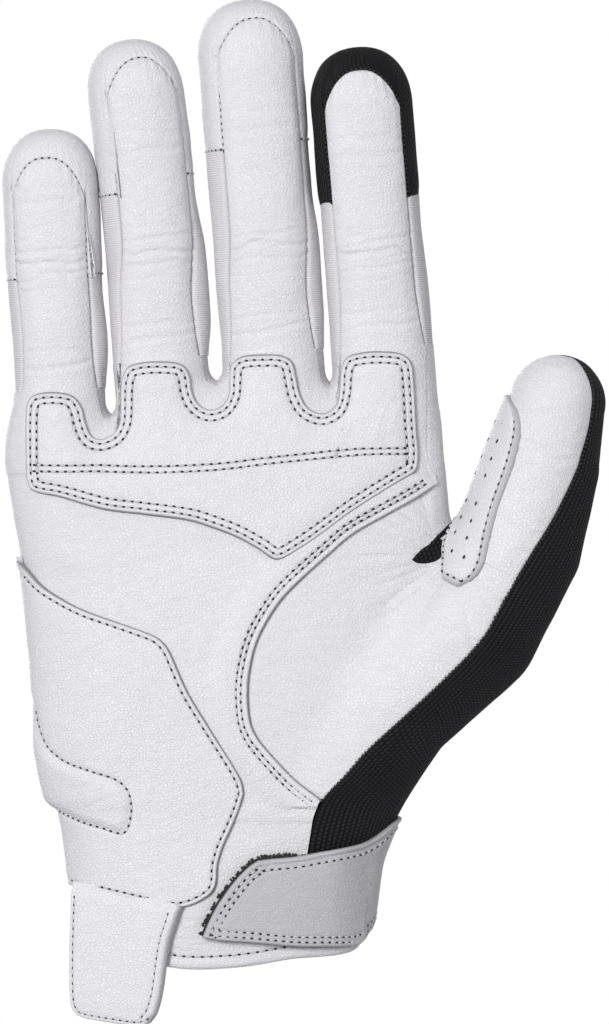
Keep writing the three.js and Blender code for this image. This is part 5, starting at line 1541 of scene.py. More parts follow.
# Tip cap: rows close in on the tip, from a lower edge that follows the pad's arch in front and a
# level band at the sides and the back.
def makeCap(finger):
    length, front = finger["length"], fingerShape["frontAngle"]
    arch = lambda degrees: length - finger["archBelow"] - digit["archDrop"] * (np.abs(degrees) / front) ** 2.4
    step = 2.6 if fine else 5
    angles = np.r_[np.arange(-180, 180, step), -front - 0.9, -front - 0.5, -front, -front + 0.6, front - 0.6, front, front + 0.5, front + 0.9]
    angles = np.unique(np.round(angles, 3))
    size = np.abs(angles)
    band = np.where(angles < 0, finger["bandLeft"], finger["bandRight"])
    edge = np.where(size <= front, arch(angles), np.where(size < fingerShape["backAngle"], band, length - digit["capBack"]))
    rows = spaced(20.0, 34 if fine else 16, (0, 0.12, 0.3, 0.5, 0.75, 1.05, 1.4, 1.9))
    t = length - (length - edge[None]) * (1 - rows[:, None]) ** 1.6
    t[-1] = length
    degrees = angles[None] + 0 * t
    base = fingerPlace(finger, degrees, t)
    arc = np.radians(degrees) * finger["width"] / 2
    line = np.stack([np.radians(angles) * finger["width"] / 2, edge], -1)
    line = np.concatenate([line, [line[0] + (math.pi * finger["width"], 0)]])
    away, _ = lineDistance(arc, t, line)
    away = np.minimum(away, lineDistance(arc - math.pi * finger["width"], t, line)[0])
    normals = gridNormals(base, wrap=True)
    normals[-1] = finger["along"]
    height = 0.3 * smoothStep(away, 0, 4) + rolled(away, 1.1, 0.85) + 0.14 * noiseAt(base, 5, 34)
    inFront = (np.abs(degrees) < front + 14) * smoothStep(t, length - 24, length - 16)
    height = height + 0.16 * np.exp(-away / 2.6) * np.sin(arc * 2 * math.pi / 1.9 + 2 * noiseAt(base, 4, 8)) * inFront * smoothStep(away, 0.2, 1)
    fades = smoothStep(length - t, 0, 3)
    height = mix(0.3, height, fades)
    piece = shellOn(finger["name"] + "TipCap", base, height, 1.2, wrap=True, pole=True, normals=normals)
    black = finger["name"] == "index"
    body = finger["name"] + "_upper"
    low = finger["bandLeft"] < finger["knuckleAt"] + 6
    bend = fingerBend(finger, "main") if low else None
    finish(piece, "capKnit" if black else "tip", body,
           [finger["name"] + "_tip_cap"], bend)
    seam = np.linspace(-front, front, 60)
    line = fingerPlace(finger, seam, arch(seam))
    lift = outward(gloveField, line)
    if black:
        edges = [(line, lift)]
        for turn, band in ((-1, finger["bandLeft"]), (1, finger["bandRight"])):
            side = fingerPlace(finger, turn * (front + 0.2), np.linspace(arch(front), band, 50))
            edges.append((side, outward(gloveField, side)))
        parts = [part for edge, up in edges for part in loopParts(edge - 0.15 * up, up)]
        finish(piecesObject("indexEdgeLoops", parts), "blackThread", body)
        return
    parts = stitchParts(line - 0.42 * lift, lift, 1.75)
    for turn, low in ((-1, finger["bandLeft"]), (1, finger["bandRight"])):
        band = fingerPlace(finger, turn * np.linspace(front + 3, fingerShape["backAngle"] - 3, 30), low + 1.0)
        up = outward(gloveField, band)
        parts += stitchParts(band + 0.12 * up, up, 1.8)
        seam = fingerPlace(finger, turn * (front + 0.2), np.linspace(low + 0.6, arch(front) - 0.5, 50))
        up = outward(gloveField, seam)
        parts += stitchParts(seam - 0.4 * up, up, 1.7)
    finish(piecesObject(finger["name"] + "CapStitches", parts), "thread", body, (), bend)
    if finger["name"] in ("ring", "middle"):
        line = fingerPlace(finger, -88.0 - finger["twist"], np.linspace(length - 8.5, length - 3.5, 30))
        up = outward(gloveField, line)
        finish(piecesObject(finger["name"] + "TipLoops", loopParts(line + 0.1 * up, up, 1.3)), "blackThread", body)


def makeFinger(finger):
    name = finger["name"]
    split, length = fingerShape["split"], finger["length"]
    front, back = fingerShape["frontAngle"], fingerShape["backAngle"]
    arch = lambda degrees: length - finger["archBelow"] - digit["archDrop"] * (np.abs(degrees) / front) ** 2.4
    frontAngles = lambda t: (-frontSeam(t), frontSeam(t))
    rightAngles = lambda t: (frontSeam(t) + 0.8, back + 0 * t)
    leftAngles = lambda t: (360 - back + 0 * t, 359.2 - frontSeam(t))
    backAngles = lambda t: (back + 0.8 + 0 * t, 359.2 - back + 0 * t)
    makeFingerPart(finger, "FrontRoot", 0.0, split, frontAngles, "white", "root", [name + "_front_lower"])
    makeFingerPart(finger, "FrontMain", split, length - finger["archBelow"], frontAngles, "white", "main",
                   [name + "_front_upper"], "lrt", top=arch)
    sides = {"SideRight": (rightAngles, "_side_right"), "SideLeft": (leftAngles, "_side_left")}
    for label, (angles, node) in sides.items():
        known = [name + node + "_upper"] if name + node + "_upper" in frame["nodes"] else []
        makeFingerPart(finger, label + "Root", 0.0, split, angles, "ribs", "root", [name + node + "_lower"], leather=False)
        band = finger["bandRight"] if label == "SideRight" else finger["bandLeft"]
        makeFingerPart(finger, label + "Main", split, band + 1.0, angles, "ribs", "main", known, leather=False)
    makeFingerPart(finger, "BackRoot", 0.0, split, backAngles, "knit", "root", [name + "_back_lower"], leather=False)
    makeFingerPart(finger, "BackMain", split, length - digit["capBack"] + 1.0, backAngles, "knit", "main",
                   [name + "_back_upper"], leather=False)
    makeCap(finger)


for finger in fingers:
    makeFinger(finger)
    print(finger["name"], "finger made")



# ---- webs between the fingers, and the black gusset in the crotch of the thumb

webs = {"thickness": 1.2, "rows": 64 if fine else 30, "columns": 28 if fine else 14, "front": -9.4, "back": 9.6}


def makeWeb(left, right, node):
    leftX = left["baseX"] + left["baseWidth"] / 2 - 0.65
    rightX = right["baseX"] - right["baseWidth"] / 2 + 0.65
    middle = (leftX + rightX) / 2
    dip = hand["length"] * float(tableAt(crotchShares, middle / hand["span"]))
    tops = [
        one["baseZ"] - (x - one["baseX"]) * one["along"][0] / one["along"][2] for one, x in ((left, leftX), (right, rightX))
    ]
    path = smoothLine([
        (leftX, tops[0]), (leftX, (tops[0] + dip) / 2), (middle - 0.65, dip - 0.65), (middle, dip - 1.3),
        (middle + 0.65, dip - 0.65), (rightX, (tops[1] + dip) / 2), (rightX, tops[1]),
    ], 0.1)
    path = path[np.linspace(0, len(path) - 1, webs["rows"]).astype(int)]
    depths = np.linspace(webs["front"], webs["back"], webs["columns"])
    start = np.stack([
        path[:, :1] + 0 * depths, depths[None] + 0 * path[:, :1], path[:, 1:] + 0 * depths,
    ], -1)
    base = settle(gloveField, start, np.array([0.0, 1.0, 0.0]))
    normals = outward(gloveField, base, np.array([0.0, 1.0, 0.0]))
    under = 1 - smoothStep(base[..., 1], -8.8, -6.8) + smoothStep(base[..., 1], 7.8, 9.2)
    height = 0.05 * noiseAt(base, 3, 41) - 0.6 * under
    finish(shellOn(node.replace("_", ""), base, height, webs["thickness"], normals=normals), "ribs", "hand", [node])


gusset = {"thickness": 1.2, "lift": 0.5}
gussetTop = smoothLine(placed((411, 560), (418, 552), (427, 545), (436, 536), (443, 529), (449, 523)), 0.25)
gussetLow = smoothLine(placed((411, 560), (418, 563), (428, 563), (439, 559), (444, 550), (448, 541), (452, 532)), 0.25)


def makeGusset():
    us = np.linspace(0, 1, 46 if fine else 22)
    grid = between(gussetLow, [gussetLow[-1], gussetTop[-1]], gussetTop, [gussetLow[0], gussetTop[0]], us, np.linspace(0, 1, 24))
    base = skinSeen(1, grid[..., 0], grid[..., 1])
    away = borderDistance(base, "bt")
    height = gusset["lift"] + 0.2 * noiseAt(base, 2.4, 42) + rolled(away, 0.8, 0.6)
    normals = outward(gloveField, base)
    piece = shellOn("thumbGusset", base, height, gusset["thickness"], normals=normals)
    finish(piece, "knit", "hand", ["thumb_gusset"])
    path = np.array([(53.3, 109.8), (53.1, 107.6), (52.9, 105.6), (52.9, 104.0)])
    path = smoothLine(path, 0.3)
    depths = np.linspace(-7.2, 6.6, 30)
    start = np.stack([path[:, :1] + 0 * depths, depths[None] + 0 * path[:, :1], path[:, 1:] + 0 * depths], -1)
    base = settle(gloveField, start, np.array([0.0, 1.0, 0.0]))
    normals = outward(gloveField, base, np.array([0.0, 1.0, 0.0]))
    finish(shellOn("thumbGussetStrip", base, 0.05 + 0 * base[..., 0], 1.2, normals=normals), "knit", "hand")


for left, right in zip(fingers[:-1], fingers[1:]):
    makeWeb(left, right, "web_" + left["name"] + "_" + right["name"])
makeGusset()
print("webs made")

# ---- back of the hand

back = {"thickness": 1.3, "rows": 190 if fine else 90, "columns": 240 if fine else 110, "turnFrom": 116.0, "topAngle": 97.0}
backHem = [[-0.4, 0.105], [-0.15, 0.06], [0.1, 0.03], [0.36, 0.02]]
softEdge = (0, 0.15, 0.35, 0.6, 0.9, 1.3, 1.8)


def makeBack():
    us = spaced(190.0, back["columns"], softEdge, softEdge)
    topAngles = mix(back["topAngle"], backLeftAngle, us)
    tops = np.full(us.shape, float(hand["length"]))
    beside = np.cos(np.radians(topAngles)) > -0.3
    for _ in range(3):
        topX = edgeOfSkin(topAngles, tops)[:, 0]
        tops = np.where(beside, creaseHeight(topX), turnHeight(-1, topX, webDepths["back"]))
    lowest = hand["length"] * tableAt(backHem, topX / hand["span"])
    vs = np.linspace(0, 1, back["rows"])[:, None]
    turnShare = 8 / 11
    turned = np.clip((vs - turnShare) / (1 - turnShare), 0, 1)
    z = np.where(turned > 0, mix(back["turnFrom"], tops[None], turned), mix(lowest[None], back["turnFrom"], vs / turnShare))
    angles = mix(tableAt(backEdge, z / hand["length"]), backLeftAngle, us[None])
    base = settle(gloveField, edgeOfSkin(angles, z), upwards)
    height = knitRelief(base) + rolled(borderDistance(base, "lrb"), 1.1, 0.9)
    normals = outward(gloveField, base, upwards)
    finish(shellOn("backKnit", base, height, back["thickness"], normals=normals), "knit", "hand", ["back_panel"])


makeBack()
print("back made")

# ---- thumb

thumbShape = {"spacing": 0.5 if fine else 1.1, "capFrom": 43.1, "rootEnd": 14.0, "bendFrom": 22.0, "bendTo": 42.0}


def thumbCentre(t):
    axis = np.array(thumbAxis)
    return np.array([float(tableAt(axis[:, [0, k]], t)) for k in (1, 2, 3)])


def thumbBend(key):
    low, high = {"root": (0.0, thumbShape["rootEnd"]), "main": (thumbShape["bendFrom"], thumbShape["bendTo"])}[key]
    bodies = {"root": ("hand", "thumb_lower"), "main": ("thumb_lower", "thumb_upper")}[key]
    return (*bodies, thumbCentre(low), thumbCentre(high))


def thumbRelief(base, t, degrees):
    rows = [
        (6.0, 0.2, 0.8, 0.4), (12.0, 0.14, 0.8, -0.4), (27.5, 0.2, 0.9, 0.5), (31.0, 0.3, 0.9, -0.3), (34.5, 0.22, 0.8, 0.4),
    ]
    drawn = np.stack([base[..., 0] * 0.2, base[..., 1] * 0.3, base[..., 2] - 0.2 * base[..., 0]], -1)
    folds = 0.12 * (1 - np.abs(noiseAt(drawn, 1.3, 51))) * smoothStep(noiseAt(base, 11, 52), -0.5, 0.4)
    return bendGrooves(t, degrees, rows, 53) + folds + 0.16 * noiseAt(base, 7, 31) + 0.06 * noiseAt(base, 3, 32)


def makeThumbPart(label, low, high, angles, finishName, key, nodes, soft="lr", leather=True):
    first, last = angles(np.array(20.0))
    width = float(last - first) * 0.25
    columns = max(int(width / thumbShape["spacing"]), 8)
    us = spaced(width, columns, softEdge, softEdge)
    rows = max(int((high - low) / thumbShape["spacing"]), 6)
    vs = np.linspace(0, 1, rows)
    guide = mix(low, high, vs if high < 50 else 1 - (1 - vs) ** 1.5)[:, None]
    first, last = angles(guide)
    degrees = mix(first, last, us[None])
    t = guide + 0 * degrees
    base = thumbPlace(degrees, t)
    away = borderDistance(base, soft)
    if leather:
        puff = 0.4 * smoothStep(away, 0, 5)
        height = thumbRelief(base, t, degrees) * smoothStep(away, 0, 1.6) + puff + rolled(away, 1.2, 0.95)
    else:
        height = knitRelief(base) + rolled(away, 1.1, 0.9)
    normals = outward(gloveField, base)
    finish(shellOn(label, base, height, 1.2, normals=normals), finishName, None, nodes, thumbBend(key))


def thumbFrontAngles(t):
    t = np.asarray(t, float)
    return -100.0 + 0 * t, thumbEdge(t)


# Knit cap of the thumb: a full ring that lies deeper where the white leather runs over it.
def makeThumbTip():
    low = thumbShape["capFrom"]
    step = 2.6 if fine else 5
    angles = np.arange(-180, 180, step)
    length = thumb["reach"] + thumbBalls[5][3]
    rows = spaced(14.0, 40 if fine else 18)
    t = length - (length - low) * (1 - rows[:, None]) ** 1.6 + 0 * angles[None]
    t[-1] = length
    degrees = angles[None] + 0 * t
    base = thumbPlace(degrees, t)
    first, last = thumbFrontAngles(t)
    covered = smoothStep(degrees, first - 1, first + 6) * (1 - smoothStep(degrees, last - 6, last + 1))
    normals = gridNormals(base, wrap=True)
    normals[-1] = thumbTipLean
    height = mix(0.1, knitRelief(base), smoothStep(length - t, 0, 3)) - 0.9 * covered
    piece = shellOn("thumbTip", base, height, 1.2, wrap=True, pole=True, normals=normals)
    finish(piece, "knit", "thumb_upper", ["thumb_back_upper"])


def makeThumb():
    split, low = thumb["split"], thumbShape["capFrom"]
    knitAngles = lambda t: (thumbFrontAngles(t)[1] + 0.8, thumbFrontAngles(t)[0] + 359.2)
    makeThumbPart("thumbFrontRoot", 0.0, split, thumbFrontAngles, "mound", "root", ["thumb_front_lower"])
    makeThumbPart("thumbFrontMain", split, 56.5, thumbFrontAngles, "mound", "main",
                  ["thumb_front_upper"], "lrt")
    makeThumbPart("thumbBackRoot", 0.0, split, knitAngles, "knit", "root", ["thumb_back_lower"], leather=False)
    makeThumbPart("thumbBackMain", split, low + 0.3, knitAngles, "knit", "main", [], leather=False)
    makeThumbTip()
    for key, start, end in (("root", 0.0, split), ("main", split, 56.0)):
        t = np.linspace(start, end, int((end - start) / 0.4))
        line = thumbPlace(thumbFrontAngles(t)[1] + 0.4, t)
        up = outward(gloveField, line)
        loops = piecesObject("thumbLoops" + key.capitalize(), loopParts(line - 0.1 * up, up))
        finish(loops, "blackThread", None, (), thumbBend(key))


makeThumb()
print("thumb made")

# ---- perforated patch on the inner side of the thumb

patch = {
    "inner": [[-9, -48], [-4, -66], [0, -84], [8, -104], [33, -112], [44, -98]],
    "outer": [[-9, -34], [-5, -23], [0, -21], [14, -28], [33, -32], [40, -46], [44, -78]],
    "lift": 0.5, "thickness": 1.0, "low": -8.6, "split": 16.0, "high": 43.6, "holePitch": 4.9,
}


def patchAt(u, t):
    return mix(tableAt(patch["inner"], t), tableAt(patch["outer"], t), u)


def makePatchPart(label, low, high, key, nodes, ends):
    rows = max(int((high - low) / 0.45), 8)
    us = spaced(18.0, 40 if fine else 20, edgeSteps[:-2], edgeSteps[:-2])
    near = (0, 0.08, 0.2, 0.36, 0.56, 0.8, 1.1, 1.5)
    vs = spaced(high - low, rows, near if "b" in ends else (), near if "t" in ends else ())
    t = mix(low, high, vs)[:, None] + 0 * us[None]
    degrees = patchAt(us[None], t)
    base = thumbPlace(degrees, t)
    away = borderDistance(base, "lr" + ends)
    height = patch["lift"] + patch["thickness"] + 0.2 * noiseAt(base, 8, 61) + rolled(away, 0.8, 1.0)
    height = height - 0.28 * np.exp(-((away - 1.7) / 0.5) ** 2)
    # A grey band along the border in the cut colour: painted shade along the raised edge.
    values = {"cutEdgeAndShade": 0.5 * np.clip(1.9 - away / 0.8, 0, 1)}
    normals = outward(gloveField, base)
    piece = shellOn(label, base, height, 0.05 + 0 * height, values=values, normals=normals)
    finish(piece, "tip", None, nodes, thumbBend(key))


def makePatch():
    split = patch["split"]
    makePatchPart("thumbPatchRoot", patch["low"], split, "root", ["thumb_crotch_patch"], "b")
    makePatchPart("thumbPatchMain", split, patch["high"], "main", ["thumb_crotch_patch_tip"], "t")
    top = patch["lift"] + patch["thickness"]
    for key, low, high in (("root", -6.8, split), ("main", split, 41.5)):
        t = np.linspace(low, high, 60)
        parts = []
        for share in (0.085, 0.915):
            line = thumbPlace(patchAt(share, t), t)
            up = outward(gloveField, line)
            parts += stitchParts(line + (top - 0.1) * up, up, 2.0)
        if key == "root":
            sweep = np.linspace(0.1, 0.9, 24)
            line = thumbPlace(patchAt(sweep, -7.0), np.full(24, -7.0))
            up = outward(gloveField, line)
            parts += stitchParts(line + (top - 0.1) * up, up, 2.0)
        # Perforations: dark lenses whose colour is painted shade in the holes.
        spots = np.arange(low + 5.5, high - 2, patch["holePitch"])
        for share in (0.4, 0.68):
            line = thumbPlace(patchAt(share, spots), spots)
            ahead = thumbPlace(patchAt(share, spots + 0.5), spots + 0.5) - line
            up = outward(gloveField, line)
            parts.append(repeated(holeTemplate(0.85, 1.15), line + (top + 0.03) * up, ahead, up))
        finish(piecesObject("thumbPatchStitches" + key.capitalize(), parts), "thread", None, (), thumbBend(key))


makePatch()
print("thumb patch made")

# ---- wrist strap, its hook lining and the loop pad below it

strap = {
    "level": 3.9, "lowRight": 2.2, "highRight": 1.5, "thickness": 1.5, "turnAt": 33.0, "endAngle": 150.0,
    "rows": 84 if fine else 40, "columns": 250 if fine else 120, "lowStitches": (1.15, 2.45), "slantStitches": (1.7, 3.1),
    "topStitch": 2.7, "band": 1.6,
}
strapSlant = smoothLine([
    (-7.4, 3.65), (-5.75, 7.5), (-3.2, 12.25), (0.5, 17.4), (4.2, 21.25), (6.6, 22.9),
], 0.4)


def ringTable(z):
    angles = np.linspace(-60, 172, 700)
    ring = edgeOfSkin(angles, np.full(angles.shape, float(z)))
    outer = ring + strap["level"] * outward(gloveField, ring, upwards)
    lengths = np.r_[0, np.cumsum(np.linalg.norm(np.diff(outer, axis=0), axis=1))]
    ahead = angles < 80
    turn = np.interp(strap["turnAt"], outer[ahead, 0], lengths[ahead])
    return np.where(lengths < turn, outer[:, 0], strap["turnAt"] + lengths - turn), angles


strapRings = {4.0: ringTable(4.0), 28.0: ringTable(28.0)}
strapEnd = float(np.interp(strap["endAngle"], *strapRings[4.0][::-1]))
strapTop = smoothLine([
    (6.6, 22.9), (10, 23.35), (15.2, 23.8), (22.5, 25.1), (28, 26), (33.5, 27.1), (37.6, 28.4), (41.5, 30.4),
    (45, 32.2), (50, 33.2), (60, 33.6), (strapEnd, 32.5),
], 0.4)
strapLow = smoothLine([
    (-7.4, 3.65), (-3, 2.95), (4.2, 2.5), (15.2, 1.5), (22.5, 1.3), (32, 1.4), (35, 2.4), (39, 4.6), (46, 7), (60, 8.2),
    (strapEnd, 8.5),
], 0.4)


# Base points on the wrist for places along the strap and up it.
def strapBase(s, z):
    low = np.interp(s, *strapRings[4.0])
    high = np.interp(s, *strapRings[28.0])
    angles = mix(low, high, (z - 4) / 24)
    return settle(gloveField, edgeOfSkin(angles, z), upwards)


def strapLevel(s, z):
    right = mix(strap["lowRight"], strap["highRight"], smoothStep(z, 3, 29))
    level = mix(strap["level"], right, smoothStep(s, 24, 38))
    curl = 0.2 * smoothStep(s, 39, 45) * (1 - smoothStep(s, 50, 62)) * smoothStep(z, 22, 33)
    return mix(level + curl, 2.2, smoothStep(s, 52, 76))


def strapBend(piece, name, nodes=()):
    start, end = np.array([33.0, -15.0, 14.0]), np.array([27.0, -21.0, 14.0])
    return finish(piece, name, None, nodes, ("hand", "strap", start, end))


def makeStrap():
    us = spaced(95.0, strap["columns"], edgeSteps[:-2], edgeSteps[:-2])
    vs = spaced(22.0, strap["rows"], edgeSteps[:-2], edgeSteps)
    right = np.array([strapLow[-1], strapTop[-1]])
    grid = between(strapLow, right, strapTop, strapSlant, us, vs)
    s, z = grid[..., 0], grid[..., 1]
    base = strapBase(s, z)
    outline = {"low": strapLow, "slant": strapSlant, "top": strapTop, "right": right}
    away = {side: lineDistance(s, z, line[::2] if len(line) > 8 else line)[0] for side, line in outline.items()}
    nearest = np.minimum.reduce(list(away.values()))
    height = strapLevel(s, z) + 0.16 * noiseAt(np.stack([s, 0 * s, z], -1), 9, 71)
    crumple = np.exp(-(((s - 36) / 4) ** 2)) * (1 - smoothStep(z, 7, 15))
    height = height + 0.5 * crumple * noiseAt(np.stack([s, 0 * s, 1.6 * z], -1), 2.8, 72)
    height = height + rolled(nearest, 0.8, 1.1)
    height = height - 0.45 * np.exp(-((away["top"] - strap["band"]) / 0.32) ** 2) * smoothStep(s, 4, 9)
    for side, rows in (("low", strap["lowStitches"]), ("slant", strap["slantStitches"]), ("top", (strap["topStitch"],))):
        for at in rows:
            height = height - 0.22 * np.exp(-((away[side] - at) / 0.42) ** 2)
    normals = outward(gloveField, base, upwards)
    values = {"cutEdgeAndShade": 0.55 * np.clip(1.2 - nearest / 0.3, 0, 1)}
    low = strapLevel(s, z) - strap["thickness"]
    piece = shellOn("wristStrap", base, height, np.minimum(low, height - 0.3), values=values, normals=normals)
    strapBend(piece, "strap", ["wrist_strap", "strap_anchor"])
    parts = []
    rows = [(strapLow, -1, at, 6) for at in strap["lowStitches"]] + [(strapSlant, 1, at, 4) for at in strap["slantStitches"]]
    for line, turn, at, skip in rows + [(strapTop, 1, strap["topStitch"], 3)]:
        path = (line + at * turn * smoothedNormals(line))[skip:-skip]
        path = path[path[:, 0] < 62]
        base = strapBase(path[:, 0], path[:, 1])
        up = outward(gloveField, base, upwards)
        laid = base + (strapLevel(path[:, 0], path[:, 1]) - 0.14)[:, None] * up
        parts += stitchParts(laid, up, 2.0)
    strapBend(piecesObject("strapStitches", parts), "thread")


# A row of hooks: rounded points scattered along the edge of the lining.
def makeHookLining():
    slant = strapSlant - 0.55 * smoothedNormals(strapSlant)
    top = strapTop[strapTop[:, 0] < 24]
    top = top - (0.55 * (1 - smoothStep(top[:, 0], 14, 20)) - 0.8 * smoothStep(top[:, 0], 14, 20))[:, None] * smoothedNormals(top)
    bottom = strapLow[strapLow[:, 0] < 24] + np.array([0, 0.5])
    slant[0], top[0] = bottom[0], slant[-1]
    right = np.array([bottom[-1], top[-1]])
    grid = between(bottom, right, top, slant, np.linspace(0, 1, 90), np.linspace(0, 1, 44))
    s, z = grid[..., 0], grid[..., 1]
    base = strapBase(s, z)
    normals = outward(gloveField, base, upwards)
    height = strapLevel(s, z) - strap["thickness"] - 0.05 + rolled(borderDistance(base, "lrbt"), 0.3, 0.25)
    low = strapLevel(s, z) - strap["thickness"] - 0.85
    strapBend(shellOn("hookLining", base, height, low, normals=normals), "hook", ["strap_hook_lining"])
    dice = np.random.default_rng(5)
    edge = np.concatenate([slant, top[top[:, 0] < 18.5]])
    lengths = np.r_[0, np.cumsum(np.linalg.norm(np.diff(edge, axis=0), axis=1))]
    clumps = np.arange(0.6, lengths[-1], 1.05) + dice.uniform(-0.25, 0.25, len(np.arange(0.6, lengths[-1], 1.05)))
    clumps = clumps[dice.uniform(size=len(clumps)) < 0.72]
    spots = np.repeat(clumps, 4) + dice.uniform(-0.5, 0.5, 4 * len(clumps))
    place = np.stack([np.interp(spots, lengths, edge[:, k]) for k in range(2)], -1)
    place = place + np.stack([dice.uniform(-0.5, 0.1, len(spots)), dice.uniform(-0.1, 0.4, len(spots))], -1)
    base = strapBase(place[:, 0], place[:, 1])
    up = outward(gloveField, base, upwards)
    depth = strapLevel(place[:, 0], place[:, 1]) - strap["thickness"] - dice.uniform(0.1, 0.7, len(spots))
    ahead = np.stack([dice.uniform(-1, 1, len(spots)), np.zeros(len(spots)), dice.uniform(-1, 1, len(spots))], -1)
    hooks = repeated(stitchTemplate(0.75, 0.55, 0.5), base + depth[:, None] * up, ahead, up)
    strapBend(piecesObject("hookPoints", [hooks]), "hook")


def makeLoopPad():
    grid = np.stack(np.meshgrid(np.linspace(2.2, 24.5, 40), np.linspace(5.4, 17.6, 24)), -1)
    s, z = grid[..., 0], grid[..., 1]
    base = strapBase(s, z)
    normals = outward(gloveField, base, upwards)
    height = 1.35 + 0.06 * noiseAt(base, 0.9, 74) + rolled(borderDistance(base, "lrbt"), 0.5, 0.4)
    finish(shellOn("loopPad", base, height, 0.75, normals=normals), "hook", "hand", ["loop_pad"])


makeStrap()
makeHookLining()
makeLoopPad()
print("strap made")

# ---- hem of the cuff

hem = {"stitchAt": 3.2, "thickness": 1.3, "rows": 60 if fine else 30, "columns": 110 if fine else 56}
hemLow = smoothLine([
    (-18.4, -3.0), (-16.5, -3.6), (-13, -4.1), (-10.5, -4.3), (-5, -4.25), (4.2, -3.5), (15.2, -1.75), (22, -1.3), (26.2, -0.95),
    (29.85, -0.2), (31.7, 0.75), (32.6, 2.2),
])


def makeHem():
    top = np.array([(-18.4, 12.6), (-6, 14.2), (6, 14.5), (20, 14.5), (33.2, 14.5)])
    left = np.array([hemLow[0], top[0]])
    right = np.array([hemLow[-1], top[-1]])
    us = spaced(50.0, hem["columns"], edgeSteps[::2], edgeSteps[::2])
    vs = spaced(18.0, hem["rows"], (0, 0.08, 0.2, 0.36, 0.56, 0.8, 1.1, 1.5, 2.0, 2.5, 3.0, 3.5, 4.0), (0, 0.3, 0.8))
    grid = between(hemLow, right, top, left, us, vs)
    base = skinSeen(1, grid[..., 0], grid[..., 1])
    x, z = grid[..., 0], grid[..., 1]
    away, _ = lineDistance(x, z, hemLow[::2])
    wrinkles = (1 - np.abs(noiseAt(np.stack([0.25 * x, 0 * x, z], -1), 1.5, 76))) * (1 - smoothStep(x, -6, 2))
    height = 0.12 + palmRelief(base) + 0.3 * wrinkles * smoothStep(away, 3.5, 6) * (1 - smoothStep(z, 9.5, 12))
    height = height - 0.3 * np.exp(-((away - hem["stitchAt"]) / 0.5) ** 2) + 0.25 * np.exp(-((away - 1.6) / 1.2) ** 2)
    height = height - 0.3 * smoothStep(z, 11.5, 14)
    height = height + rolled(np.minimum(away, borderDistance(base, "lr")), 1.1, 1.0)
    normals = outward(gloveField, base)
    # The left end is coloured dark in the cut colour: painted shadow of the cuff's inside beside the tab.
    values = {"cutEdgeAndShade": (1 - smoothStep(x, -17.2, -15.6)) * (1 - smoothStep(z, 6, 9))}
    piece = shellOn("cuffHem", base, height, np.minimum(-hem["thickness"] + 0.1, height - 0.2), values=values, normals=normals)
    finish(piece, "white", "hand", ["cuff_hem"])
    path = (hemLow - hem["stitchAt"] * -1 * -smoothedNormals(hemLow))[2:-8]
    laid, up = laidLine(path, lambda x, z: reliefTop(x, z, 0.06))
    finish(piecesObject("hemStitches", stitchParts(laid, up, 2.3)), "thread", "hand")


makeHem()
print("hem made")

# ---- pull tab at the wrist

tab = {"turn": 18.0, "depth": -15.4, "thickness": 2.0, "middle": -27.0}
tabOutline = {
    "low": [(-38.6, -15.9), (-36.6, -16.6), (-33, -17.2), (-29, -17.8), (-24.4, -18.35), (-21.9, -18.1), (-20.6, -17.4)],
    "right": [(-20.6, -17.4), (-19.2, -15.5), (-18.2, -12.6), (-17.4, -8.6), (-16.6, -2.6), (-15.6, 3), (-14.2, 7.4), (-12.9, 11.6)],
    "top": [(-40.2, 17.6), (-32, 16.4), (-23, 14.6), (-12.9, 11.6)],
    "left": [(-38.6, -15.9), (-40, -14.2), (-40.5, -12), (-40.75, -6), (-40.7, 0), (-40.5, 8), (-40.2, 17.6)],
}


def tabPlace(x, z, height):
    lean = math.radians(tab["turn"])
    normal = np.array([-math.sin(lean), -math.cos(lean), 0.0])
    flat = np.stack([x, tab["depth"] - (x - tab["middle"]) * math.tan(lean), z], -1)
    return flat + height[..., None] * normal, np.broadcast_to(normal, flat.shape)


def tabHeight(x, z):
    away = {side: lineDistance(x, z, smoothLine(tabOutline[side], 0.6))[0] for side in ("low", "right", "left")}
    nearest = np.minimum(away["low"], away["left"])
    height = 0.25 * smoothStep(np.minimum(nearest, away["right"]), 0, 5)
    height = height + 0.12 * noiseAt(np.stack([x, 0 * x, z], -1), 9, 81)
    height = height + 0.05 * noiseAt(np.stack([x, 0 * x, z], -1), 3, 82)
    height = height + rolled(nearest, 0.7, 0.8) + rolled(away["right"], 1.7, 1.7)
    groove = np.exp(-((nearest - 1.0) / 0.42) ** 2) + np.exp(-((away["right"] - 2.3) / 0.45) ** 2)
    return height - 0.26 * groove, nearest


